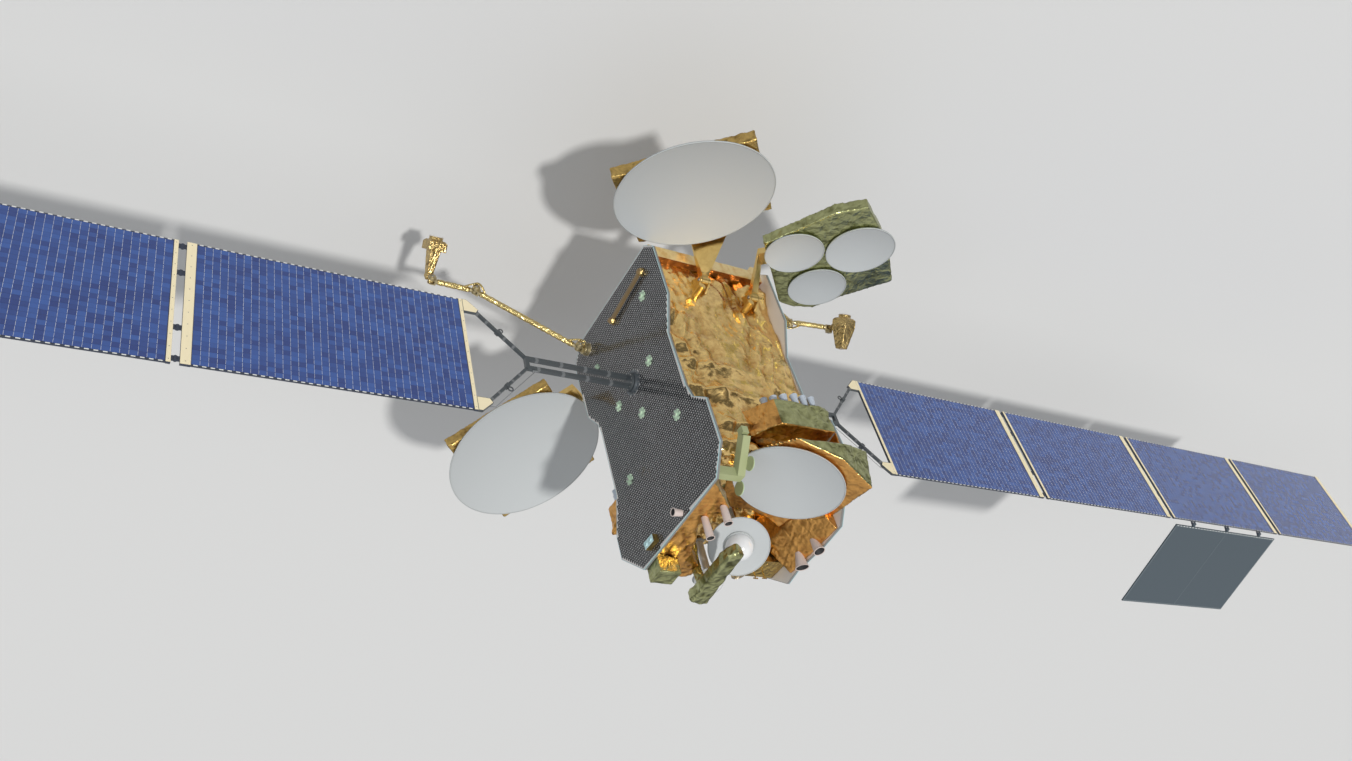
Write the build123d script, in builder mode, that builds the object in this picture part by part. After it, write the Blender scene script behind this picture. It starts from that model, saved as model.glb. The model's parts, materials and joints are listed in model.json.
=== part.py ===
from build123d import *
from math import atan2, cos, degrees, radians, sin
import os

os.makedirs("parts", exist_ok=True)

# A geostationary communications satellite with its wings, reflectors and thruster arms deployed.
# Millimetres. The origin is the centre of the launch ring's lower face, +Z runs up to the
# Earth-facing deck, +Y runs along the north wing and +X is the east face.

# Body
CORE_EW = 2240          # width of the core across its east and west faces
CORE_NS = 2140          # width of the core between the radiator panels
CORE_TOP = 4100         # height of the Earth deck above the ring's lower face
RING_HEIGHT = 200       # the core starts on top of the launch ring
RADIATOR_T = 40
DRIVE_Z = 2000          # height of the wing axis
FACE_NS = CORE_NS / 2 + RADIATOR_T

# Launch ring
RING_BORE = 583
RING_OUTER = 607
RING_FLANGE = 640
RING_FLANGE_T = 16

# Solar wings
PANEL_L = 3740
PANEL_W = 2100
PANEL_T = 25
PANEL_GAP = 100
PANEL_COUNT = 4
WING_ROOT = 3770        # distance of the first panel's inner edge from the body's centre
STRIP_IN = 55           # pale edge member along a panel's inner edge
STRIP_OUT = 120         # and along its outer edge
STRIP_T = 40
FITTING_W = 70          # hinge fittings across each gap, at the corners and along the chord
FITTING_AT = (0.04, 0.27, 0.72, 0.96)
BARREL_R = 24           # hinge barrel in the middle of the gap

# Yoke
RAIL = 60               # square tube of the two root rails
RAIL_SPREAD = 180       # distance between the two rails' centres
YOKE_FORK = 2860        # where the rails part into the two arms
YOKE_ARM = 45
YOKE_CLIP = 66          # clip at the middle of each arm, with a ring on its outer side
YOKE_RING_R = 42
YOKE_RING_T = 14
ROOT_BRACKET = 240      # legs of the triangular brackets at the first panel's corners
HUB_R = 150
HUB_T = 40
DRIVE_R = 200
DRIVE_BODY_R = 165
DRIVE_T = 60
DRIVE_BORE = 70
SHAFT_CLEAR = 0.5
RUN_CLEAR = 6           # running gap between faces that turn past each other
SHAFT_DEPTH = 40

# Lateral flap on each third panel
FLAP_L = 3530
FLAP_W = 2060
FLAP_PANEL = 3
FLAP_HINGE_X = -35      # the hinge line lies behind the panel
FLAP_HINGE_Z = 45       # and this far outside its edge
FLAP_TILT = -72.3       # degrees from the panel's plane towards the back
FLAP_HINGES = 3
FLAP_LUG = 60
FLAP_EAR = 20
FLAP_KNUCKLE_R = 22
FLAP_PIN_R = 10
PIN_CLEAR = 0.5


def box(lo, hi):
    """A block between two opposite corners."""
    size = [b - a for a, b in zip(lo, hi)]
    with BuildPart() as block:
        with Locations([((lo[0] + hi[0]) / 2, (lo[1] + hi[1]) / 2, (lo[2] + hi[2]) / 2)]):
            Box(*size)
    return block.part


def save(part, label):
    part.label = label
    export_step(part, f"parts/{label}.step")


def square_plane(origin, normal, azimuth):
    """A plane whose x direction has the given compass azimuth in degrees."""
    z = Vector(*normal).normalized()
    flat = Vector(cos(radians(azimuth)), sin(radians(azimuth)), 0)
    x = (flat - z * flat.dot(z)).normalized()
    return Plane(origin=origin, x_dir=x, z_dir=z)


# Core: the box that carries everything
CORE_X = CORE_EW / 2
CORE_Y = CORE_NS / 2
with BuildPart() as bus_core:
    with BuildSketch(Plane.XY.offset(RING_HEIGHT)):
        Rectangle(CORE_EW, CORE_NS)
    extrude(amount=CORE_TOP - RING_HEIGHT)
save(bus_core.part, "bus_core")

# Radiator panels: x and z of one outline that differs only at the Earth end
CORE_FOOT = 160         # the radiators' aft edge, a little below the core
RADIATOR_SIDES = (
    (1220, 3270), (1150, 2990), (CORE_X, 1960), (1380, 1400), (1380, 360), (1190, CORE_FOOT),
    (-1130, CORE_FOOT), (-1430, 440), (-1430, 1000), (-1390, 1590), (-1170, 1910), (-1130, 2100),
    (-1130, 3300), (-1220, 3520), (-1380, 3900),
)
RADIATOR_ENDS = {
    "north": ((-1380, 4290), (-900, 4760), (1190, 4650), (1490, 4250), (1480, 3500)),
    "south": ((-1380, 4290), (-960, 4670), (-500, 5070), (-210, 5020), (480, 5030), (920, 4990),
              (1530, 4260), (1480, 3500)),
}
for name, side in (("north", 1), ("south", -1)):
    with BuildPart() as radiator:
        with BuildSketch(Plane.XZ.offset(-side * CORE_Y)):
            with BuildLine():
                Polyline(*RADIATOR_SIDES, *RADIATOR_ENDS[name], close=True)
            make_face()
        extrude(amount=-side * RADIATOR_T)
    save(radiator.part, f"radiator_{name}")

# Launch ring: a cylinder with a bolting flange at its foot
with BuildPart() as launch_ring:
    with BuildSketch(Plane.XZ):
        with BuildLine():
            Polyline((RING_BORE, 0), (RING_FLANGE, 0), (RING_FLANGE, RING_FLANGE_T),
                     (RING_OUTER, RING_FLANGE_T + 10), (RING_OUTER, RING_HEIGHT),
                     (RING_BORE, RING_HEIGHT), close=True)
        make_face()
    revolve(axis=Axis.Z)
save(launch_ring.part, "launch_ring")

# Edge beams along the aft edge of the east and west faces, each stepped at one end
BEAM_OUT = 120          # how far the beam stands out of its face
BEAM_RISE = 240
BEAM_STEP = 100
BEAM_STEP_L = 140
for label, side in (("edge_beam_east", 1), ("edge_beam_west", -1)):
    with BuildPart() as beam:
        with BuildSketch(Plane.YZ.offset(side * CORE_X)):
            with BuildLine():
                step_y = -side * CORE_Y
                Polyline((-step_y, CORE_FOOT), (-step_y, CORE_FOOT + BEAM_RISE),
                         (step_y, CORE_FOOT + BEAM_RISE), (step_y, CORE_FOOT - BEAM_STEP),
                         (step_y + side * BEAM_STEP_L, CORE_FOOT - BEAM_STEP),
                         (step_y + side * BEAM_STEP_L, CORE_FOOT), close=True)
            make_face()
        extrude(amount=side * BEAM_OUT)
    save(beam.part, label)

# Stow posts on the east face, which take the folded reflectors' weight at launch
POST_R = 57
POST_L = 200
POST_CAP_R = 48
POST_CAP_T = 14
STOW_POSTS = ((330, 970), (-560, 1080))
with BuildPart() as stow_posts:
    with BuildSketch(Plane.YZ.offset(CORE_X)):
        with Locations(*STOW_POSTS):
            Circle(POST_R)
    extrude(amount=POST_L)
    with BuildSketch(Plane.YZ.offset(CORE_X + POST_L)):
        with Locations(*STOW_POSTS):
            Circle(POST_CAP_R)
    extrude(amount=POST_CAP_T)
save(stow_posts.part, "stow_posts")

# Wing drives: a bolting flange and a stepped housing on each radiator, with the shaft's bore
DRIVE_FLANGE_T = 16
for label, side in (("drive_north", 1), ("drive_south", -1)):
    with BuildPart() as drive:
        for radius, height in ((DRIVE_R, DRIVE_FLANGE_T), (DRIVE_BODY_R, DRIVE_T)):
            with BuildSketch(Plane.XZ.offset(-side * FACE_NS)):
                with Locations((0, DRIVE_Z)):
                    Circle(radius)
            extrude(amount=-side * height)
        with BuildSketch(Plane.XZ.offset(-side * FACE_NS)):
            with Locations((0, DRIVE_Z)):
                Circle(DRIVE_BORE)
        extrude(amount=-side * DRIVE_T, mode=Mode.SUBTRACT)
    save(drive.part, label)

# Hold-down fittings for the stowed wing, six-armed stars with a boss: x and z on each radiator
HOLD_DOWNS = ((800, 900), (-830, 1010), (520, 2000), (-500, 2060), (20, 2610), (790, 3260), (-690, 3330))
HOLD_SPAN = 170
HOLD_ARM = 44
HOLD_T = 18
HOLD_BOSS_R = 34
HOLD_BOSS_T = 45
for label, side in (("hold_downs_north", 1), ("hold_downs_south", -1)):
    with BuildPart() as hold_downs:
        with BuildSketch(Plane.XZ.offset(-side * FACE_NS)):
            for turn in (0, 60, 120):
                with Locations(*[Location((x, z, 0), (0, 0, turn + 15)) for x, z in HOLD_DOWNS]):
                    Rectangle(HOLD_SPAN, HOLD_ARM)
        extrude(amount=-side * HOLD_T)
        with BuildSketch(Plane.XZ.offset(-side * FACE_NS)):
            with Locations(*HOLD_DOWNS):
                RegularPolygon(HOLD_BOSS_R, 6)
        extrude(amount=-side * HOLD_BOSS_T)
    save(hold_downs.part, label)

# Cradle that holds the folded thruster arm on the north radiator: a bar on two saddles
CRADLE_FROM = (975, 550)
CRADLE_TO = (-55, 645)
CRADLE_BAR = 50
CRADLE_LIFT = 30
SADDLE = 100
cradle_run = Vector(CRADLE_TO[0] - CRADLE_FROM[0], 0, CRADLE_TO[1] - CRADLE_FROM[1])
with BuildPart() as arm_cradle:
    cradle_mid = ((CRADLE_FROM[0] + CRADLE_TO[0]) / 2, (CRADLE_FROM[1] + CRADLE_TO[1]) / 2)
    cradle_turn = degrees(atan2(cradle_run.Z, cradle_run.X))
    with BuildSketch(Plane.XZ.offset(-FACE_NS - CRADLE_LIFT)):
        with Locations(Location((*cradle_mid, 0), (0, 0, cradle_turn))):
            Rectangle(cradle_run.length, CRADLE_BAR)
    extrude(amount=-CRADLE_BAR)
    with BuildSketch(Plane.XZ.offset(-FACE_NS)):
        with Locations(*[Location((*end, 0), (0, 0, cradle_turn)) for end in (CRADLE_FROM, CRADLE_TO)]):
            Rectangle(SADDLE, SADDLE)
    extrude(amount=-CRADLE_LIFT)
    with BuildSketch(Plane.XZ.offset(-FACE_NS - CRADLE_LIFT)):
        with Locations(*[Location((*end, 0), (0, 0, cradle_turn)) for end in (CRADLE_FROM, CRADLE_TO)]):
            Rectangle(SADDLE, SADDLE * 0.7)
    extrude(amount=-CRADLE_BAR - CRADLE_LIFT, taper=12)
save(arm_cradle.part, "arm_cradle_north")

# Solar wings
HUB_Y = FACE_NS + DRIVE_T + RUN_CLEAR
PANEL_PITCH = PANEL_L + PANEL_GAP
EDGE_Z = PANEL_W / 2


def span_box(side, y0, y1, x_half, z0, z1):
    """A block of a wing, given by its distances along the span."""
    lo_y, hi_y = sorted((side * y0, side * y1))
    return box((-x_half, lo_y, z0), (x_half, hi_y, z1))


for name, side in (("north", 1), ("south", -1)):
    # Yoke: shaft, hub, two rails, then two arms out to the first panel's corners
    with BuildPart() as yoke:
        with BuildSketch(Plane.XZ.offset(-side * (HUB_Y - RUN_CLEAR - SHAFT_DEPTH))):
            with Locations((0, DRIVE_Z)):
                Circle(DRIVE_BORE - SHAFT_CLEAR)
        extrude(amount=-side * (SHAFT_DEPTH + RUN_CLEAR))
        with BuildSketch(Plane.XZ.offset(-side * HUB_Y)):
            with Locations((0, DRIVE_Z)):
                Circle(HUB_R)
        extrude(amount=-side * HUB_T)
        for z in (-RAIL_SPREAD / 2, RAIL_SPREAD / 2):
            add(span_box(side, HUB_Y + HUB_T, YOKE_FORK, RAIL / 2,
                         DRIVE_Z + z - RAIL / 2, DRIVE_Z + z + RAIL / 2))
        add(span_box(side, YOKE_FORK, YOKE_FORK + RAIL, RAIL / 2,
                     DRIVE_Z - (RAIL_SPREAD + RAIL) / 2, DRIVE_Z + (RAIL_SPREAD + RAIL) / 2))
        for end in (1, -1):
            start = (0, side * (YOKE_FORK + RAIL / 2), DRIVE_Z + end * RAIL_SPREAD / 2)
            stop = (0, side * (WING_ROOT - ROOT_BRACKET / 2), DRIVE_Z + end * (EDGE_Z - ROOT_BRACKET / 2))
            run = Vector(*stop) - Vector(*start)
            with BuildSketch(Plane(origin=start, x_dir=(1, 0, 0), z_dir=run)):
                Rectangle(YOKE_ARM, YOKE_ARM)
            extrude(amount=run.length)
            clip_at = Vector(*start) + run / 2
            with BuildSketch(Plane(origin=clip_at, x_dir=(1, 0, 0), z_dir=run)):
                Rectangle(YOKE_CLIP, YOKE_CLIP)
            extrude(amount=YOKE_CLIP / 2, both=True)
            ring_at = clip_at + Vector(0, -side * end * run.Z, side * end * run.Y).normalized() * YOKE_CLIP
            with BuildSketch(Plane.YZ.offset(-YOKE_RING_T / 2)):
                with Locations((ring_at.Y, ring_at.Z)):
                    Circle(YOKE_RING_R)
                    Circle(YOKE_RING_R - YOKE_RING_T, mode=Mode.SUBTRACT)
            extrude(amount=YOKE_RING_T)
        for end in (1, -1):
            with BuildSketch(Plane.YZ.offset(-YOKE_ARM / 2)):
                with BuildLine():
                    root_z = DRIVE_Z + end * EDGE_Z
                    Polyline((side * WING_ROOT, root_z), (side * (WING_ROOT - 70), root_z),
                             (side * (WING_ROOT - ROOT_BRACKET), root_z - end * (ROOT_BRACKET - 70)),
                             (side * (WING_ROOT - ROOT_BRACKET + 50), root_z - end * ROOT_BRACKET),
                             (side * WING_ROOT, root_z - end * ROOT_BRACKET), close=True)
                make_face()
            extrude(amount=YOKE_ARM)
    save(yoke.part, f"yoke_{name}")

    for number in range(1, PANEL_COUNT + 1):
        inner = WING_ROOT + (number - 1) * PANEL_PITCH
        outer = inner + PANEL_L
        with BuildPart() as panel:
            add(span_box(side, inner, outer, PANEL_T / 2, DRIVE_Z - EDGE_Z, DRIVE_Z + EDGE_Z))
            add(span_box(side, inner, inner + STRIP_IN, STRIP_T / 2, DRIVE_Z - EDGE_Z, DRIVE_Z + EDGE_Z))
            if number < PANEL_COUNT:
                add(span_box(side, outer - STRIP_OUT, outer, STRIP_T / 2,
                             DRIVE_Z - EDGE_Z, DRIVE_Z + EDGE_Z))
                for share in FITTING_AT:
                    foot_z = DRIVE_Z - EDGE_Z + share * PANEL_W - FITTING_W / 2
                    add(span_box(side, outer, outer + PANEL_GAP, STRIP_T / 4, foot_z, foot_z + FITTING_W))
                    with BuildSketch(Plane.XY.offset(foot_z)):
                        with Locations((0, side * (outer + PANEL_GAP / 2))):
                            Circle(BARREL_R)
                    extrude(amount=FITTING_W)
            if number == FLAP_PANEL:
                middle = (inner + outer) / 2
                hinge_z = DRIVE_Z + EDGE_Z + FLAP_HINGE_Z
                for step in range(FLAP_HINGES):
                    at = middle + (step - (FLAP_HINGES - 1) / 2) * FLAP_L / FLAP_HINGES
                    ear = FLAP_LUG / 2 + RUN_CLEAR
                    for y0 in (at - ear - FLAP_EAR, at + ear):
                        with BuildSketch(Plane.XZ.offset(-side * y0)):
                            with BuildLine():
                                Polyline((-PANEL_T / 2, DRIVE_Z + EDGE_Z - FLAP_LUG),
                                         (-PANEL_T / 2, DRIVE_Z + EDGE_Z),
                                         (FLAP_HINGE_X + FLAP_KNUCKLE_R, hinge_z),
                                         (FLAP_HINGE_X - FLAP_KNUCKLE_R, hinge_z),
                                         (FLAP_HINGE_X - FLAP_PIN_R / 2, DRIVE_Z + EDGE_Z), close=True)
                            make_face()
                            with Locations((FLAP_HINGE_X, hinge_z)):
                                Circle(FLAP_KNUCKLE_R)
                        extrude(amount=-side * FLAP_EAR)
                    with BuildSketch(Plane.XZ.offset(-side * (at - ear))):
                        with Locations((FLAP_HINGE_X, hinge_z)):
                            Circle(FLAP_PIN_R)
                    extrude(amount=-side * 2 * ear)
        save(panel.part, f"panel_{name}_{number}")

    # Flap: built in its own plane at the hinge line, tilted back
    flap_root = WING_ROOT + (FLAP_PANEL - 1) * PANEL_PITCH + PANEL_L / 2
    along = Vector(sin(radians(FLAP_TILT)), 0, cos(radians(FLAP_TILT)))
    hinge_point = (FLAP_HINGE_X, side * flap_root, DRIVE_Z + EDGE_Z + FLAP_HINGE_Z)
    front = Vector(0, 1, 0).cross(along)
    flap_plane = Plane(origin=hinge_point, x_dir=(0, 1, 0), z_dir=front)
    with BuildPart() as flap:
        with BuildSketch(flap_plane.offset(-FLAP_HINGE_X - PANEL_T / 2)):
            with Locations((0, FLAP_HINGE_Z + FLAP_W / 2)):
                Rectangle(FLAP_L, FLAP_W)
        extrude(amount=PANEL_T)
        for step in range(FLAP_HINGES):
            at = (step - (FLAP_HINGES - 1) / 2) * FLAP_L / FLAP_HINGES
            lug_plane = Plane(origin=flap_plane.from_local_coords((at - FLAP_LUG / 2, 0, 0)),
                              x_dir=along, z_dir=(0, 1, 0))
            with BuildSketch(lug_plane):
                Circle(FLAP_KNUCKLE_R)
                with BuildLine():
                    Polyline((0, FLAP_KNUCKLE_R), (0, -FLAP_KNUCKLE_R),
                             (FLAP_HINGE_Z + 60, -FLAP_HINGE_X - PANEL_T / 2),
                             (FLAP_HINGE_Z + 60, -FLAP_HINGE_X + PANEL_T / 2),
                             (FLAP_HINGE_Z, -FLAP_HINGE_X + PANEL_T / 2), close=True)
                make_face()
                Circle(FLAP_PIN_R + PIN_CLEAR, mode=Mode.SUBTRACT)
            extrude(amount=FLAP_LUG)
    save(flap.part, f"flap_{name}")


# Electric thruster arms: shoulder, boom, forearm and thruster head
ARM_BASE_R = 110
ARM_BASE_T = 55
ARM_SPIGOT_R = 30
ARM_SPIGOT = 30
KNUCKLE_R = 95
KNUCKLE_T = 40
JOINT_R = 48            # radius of lugs and ears round each cross pin
JOINT_LUG = 44
JOINT_EAR = 18
JOINT_PIN_R = 15
NECK = 85               # distance from a cross pin to the fork's bridge
TUBE_R = 40
BOOM = 1920
FOREARM = 750
DRUM_R = 64             # motor drum on one ear of each fork
DRUM_L = 52
HEAD_BAR = 110          # square bar behind each head
HEAD_SEAT = 5           # overlap of that bar and the wrist's lug
HEAD_W = 300            # wide part of a head
HEAD_T = 170
STEM_W = 100            # narrow end of the stem behind a head
STEM_L = 400
HEAD_REACH = 330        # distance of the southern head's middle from its wrist
NOZZLE_R = 110
NOZZLE_WALL = 18
NOZZLE_L = 55
SHOULDER_Y = FACE_NS + ARM_BASE_T + RUN_CLEAR + KNUCKLE_T + NECK

# name, side, shoulder x and z, then degrees: azimuth of the arm's plane, boom, forearm, head
ARMS = (
    ("north", 1, -950, 470, 263.9, 59.9, 88, 8),
    ("south", -1, 950, 470, 218.5, 50.1, 112, 167),
)


def extruded_along(axis, origin, length, x_dir):
    """A sketch plane whose extrusion by length is centred on origin."""
    return Plane(origin=origin - axis * (length / 2), x_dir=x_dir, z_dir=axis)


def fork(origin, axis, backwards):
    """Two ears and the pin round a cross axis, joined by a bridge behind them."""
    gap = JOINT_LUG + 2 * RUN_CLEAR
    width = gap + 2 * JOINT_EAR
    with BuildPart() as part:
        with BuildSketch(extruded_along(axis, origin, width, backwards)):
            Circle(JOINT_R)
            with Locations((NECK / 2, 0)):
                Rectangle(NECK, 2 * JOINT_R)
        extrude(amount=width)
        with BuildSketch(extruded_along(axis, origin, gap, backwards)):
            Rectangle(2 * (JOINT_R + RUN_CLEAR), 3 * JOINT_R)
        extrude(amount=gap, mode=Mode.SUBTRACT)
        with BuildSketch(extruded_along(axis, origin, gap, backwards)):
            Circle(JOINT_PIN_R)
        extrude(amount=gap)
        with BuildSketch(Plane(origin=origin + axis * width / 2, x_dir=backwards, z_dir=axis)):
            Circle(DRUM_R)
        extrude(amount=DRUM_L)
        chamfer(part.edges().group_by(Axis(origin, axis))[-1], length=DRUM_L / 5)
    return part.part


def lug(origin, axis, forwards):
    """A bored lug with the stem that carries its tube."""
    with BuildPart() as part:
        with BuildSketch(extruded_along(axis, origin, JOINT_LUG, forwards)):
            Circle(JOINT_R)
            with Locations((NECK / 2, 0)):
                Rectangle(NECK, JOINT_LUG)
            Circle(JOINT_PIN_R + PIN_CLEAR, mode=Mode.SUBTRACT)
        extrude(amount=JOINT_LUG)
    return part.part


def link(start, stop, axis):
    """An arm's tube between two cross pins: a lug at the start and a fork at the end."""
    along = (stop - start).normalized()
    with BuildPart() as part:
        add(lug(start, axis, along))
        add(fork(stop, axis, -along))
        with BuildSketch(Plane(origin=start + along * (NECK - 15), z_dir=along)):
            Circle(TUBE_R)
        extrude(amount=(stop - start).length - 2 * NECK + 30)
    return part.part


for name, side, x, z, plane_angle, boom_angle, forearm_angle, head_angle in ARMS:
    out = Vector(cos(radians(plane_angle)), 0, sin(radians(plane_angle)))
    up = Vector(0, side, 0)
    axis = out.cross(up)
    shoulder = Vector(x, side * SHOULDER_Y, z)
    boom_dir = out * cos(radians(boom_angle)) + up * sin(radians(boom_angle))
    forearm_dir = out * cos(radians(forearm_angle)) + up * sin(radians(forearm_angle))
    head_dir = out * cos(radians(head_angle)) + up * sin(radians(head_angle))
    elbow = shoulder + boom_dir * BOOM
    wrist = elbow + forearm_dir * FOREARM

    face = Plane(origin=(x, side * FACE_NS, z), x_dir=(1, 0, 0), z_dir=up)
    with BuildPart() as base:
        with BuildSketch(face):
            Circle(ARM_BASE_R)
        extrude(amount=ARM_BASE_T)
        with BuildSketch(face.offset(ARM_BASE_T)):
            Circle(ARM_SPIGOT_R)
        extrude(amount=RUN_CLEAR + ARM_SPIGOT)
    save(base.part, f"arm_base_{name}")

    with BuildPart() as knuckle:
        with BuildSketch(face.offset(ARM_BASE_T + RUN_CLEAR)):
            Circle(KNUCKLE_R)
        extrude(amount=KNUCKLE_T)
        add(fork(shoulder, axis, -up))
        with BuildSketch(face.offset(ARM_BASE_T + RUN_CLEAR)):
            Circle(ARM_SPIGOT_R + PIN_CLEAR)
        extrude(amount=ARM_SPIGOT + PIN_CLEAR, mode=Mode.SUBTRACT)
    save(knuckle.part, f"arm_knuckle_{name}")

    save(link(shoulder, elbow, axis), f"arm_boom_{name}")
    save(link(elbow, wrist, axis), f"arm_forearm_{name}")

    # Head: the northern one stands on a tapered stem, the southern one hangs across its bar
    stem_axis, stem_start, head_at, fire = {
        "north": (out * 0.565 + axis * 0.825, wrist + head_dir * (NECK + HEAD_BAR / 2), STEM_L, 1),
        "south": (axis, wrist + head_dir * HEAD_REACH, 0, -1),
    }[name]
    stem_axis = stem_axis.normalized()
    across = head_dir.cross(axis)
    widths = (STEM_W, HEAD_W * 0.6) if fire > 0 else (HEAD_W, HEAD_W / 2)
    with BuildPart() as head:
        add(lug(wrist, axis, head_dir))
        reach = HEAD_BAR if fire > 0 else HEAD_REACH
        with BuildSketch(Plane(origin=wrist + head_dir * (NECK - HEAD_SEAT), x_dir=axis, z_dir=head_dir)):
            Rectangle(HEAD_BAR, HEAD_BAR)
        extrude(amount=reach)
        stem_plane = Plane(origin=stem_start, x_dir=across, z_dir=stem_axis)
        with BuildSketch(stem_plane):
            Rectangle(widths[0], widths[0])
        with BuildSketch(stem_plane.offset(STEM_L)):
            Rectangle(widths[1], widths[1])
        loft()
        head_plane = Plane(origin=stem_start + stem_axis * head_at, x_dir=across, z_dir=stem_axis * fire)
        with BuildSketch(head_plane):
            Rectangle(HEAD_W, HEAD_W)
        extrude(amount=HEAD_T)
        front = head.faces().sort_by(Axis(head_plane.origin, head_plane.z_dir))[-1]
        chamfer(front.edges(), length=HEAD_T / 5)
        with BuildSketch(head_plane.offset(HEAD_T)):
            Circle(NOZZLE_R)
            Circle(NOZZLE_R - NOZZLE_WALL, mode=Mode.SUBTRACT)
        extrude(amount=NOZZLE_L)
    save(head.part, f"thruster_{name}")

# Reflectors: dishes on gold trays, each tray on a hinged arm
DISH_T = 20
DISH_SEAT = 0.3
TRAY_DROP = 45          # the tray's corners lie this far under the dish's rim
TRAY_T = 190
HINGE_REACH = 150       # distance of a reflector hinge from the body's face
HINGE_LUG = 120
HINGE_EAR = 30
HINGE_R = 60
HINGE_PIN_R = 20
HINGE_ROOT = 20         # gap from the lug's rim to the tapered arm
BRACKET_HALF = 130      # half height of a bracket on the core
FOOT_T = 110            # thickness of the arm, from its foot on the tray's side to the hinge
FOOT_DROP = 60          # the foot lies this far under the tray's top


def dish_profile(radius, depth, lift):
    """The dish's meridian, from the axis out to the rim, lifted by a distance."""
    return ThreePointArc((0, lift - depth), (radius / 2, lift - depth * 3 / 4), (radius, lift))


def dish(plane, radius, depth):
    """A shallow dish: centre on its axis at rim height, bowl towards the plane's normal."""
    meridian = Plane(origin=plane.origin, x_dir=plane.x_dir, z_dir=-plane.y_dir)
    with BuildPart() as part:
        with BuildSketch(meridian):
            with BuildLine():
                inner = dish_profile(radius, depth, 0)
                outer = dish_profile(radius, depth, -DISH_T)
                Line(inner @ 0, outer @ 0)
                Line(inner @ 1, outer @ 1)
            make_face()
        revolve(axis=Axis(plane.origin, plane.z_dir))
    return part.part


def bowl_space(plane, radius, depth):
    """The space that a dish takes in its tray, up to well above its rim."""
    meridian = Plane(origin=plane.origin, x_dir=plane.x_dir, z_dir=-plane.y_dir)
    with BuildPart() as part:
        with BuildSketch(meridian):
            with BuildLine():
                under = dish_profile(radius, depth, -DISH_T - DISH_SEAT)
                Polyline(under @ 0, (0, TRAY_T), (radius + DISH_SEAT, TRAY_T),
                         (radius + DISH_SEAT, -DISH_T - DISH_SEAT), under @ 1)
            make_face()
        revolve(axis=Axis(plane.origin, plane.z_dir))
    return part.part


# name, centre, normal, tray azimuth, dishes (local x, y, radius, depth), tray outline,
# foot (local x, y, outward angle, width, reach), hinge (face x, y, z)
REFLECTORS = (
    ("east_north", (2450, 950, 350), (-0.202, -0.04, 0.979), -45.8, ((0, 0, 1225, 150),),
     ((-1075, -875), (1075, -875), (1075, 875), (-1075, 875)),
     (0, -875, -90, 600, 425), (CORE_X, 210, 760)),
    ("east_south", (1990, -1210, 440), (-0.19, 0.07, 0.98), -45.8,
     ((0, 0, 480, 60), (1046, -262, 562, 70), (245, -1048, 490, 60)),
     ((-440, 340), (770, 760), (1260, 730), (1430, 10), (1510, -830), (1500, -1340), (630, -1500),
      (110, -1670), (-260, -1510), (-440, -1300)),
     (-440, -100, 180, 300, 130), (CORE_X, -700, 900)),
    ("west", (-2880, 1520, 1310), (0.227, -0.159, 0.961), -135, ((0, 0, 1350, 165),),
     ((-1150, -950), (1150, -950), (1150, 950), (-1150, 950)),
     (-500, 950, 90, 360, 350), (-CORE_X, 880, 1700)),
)
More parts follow.
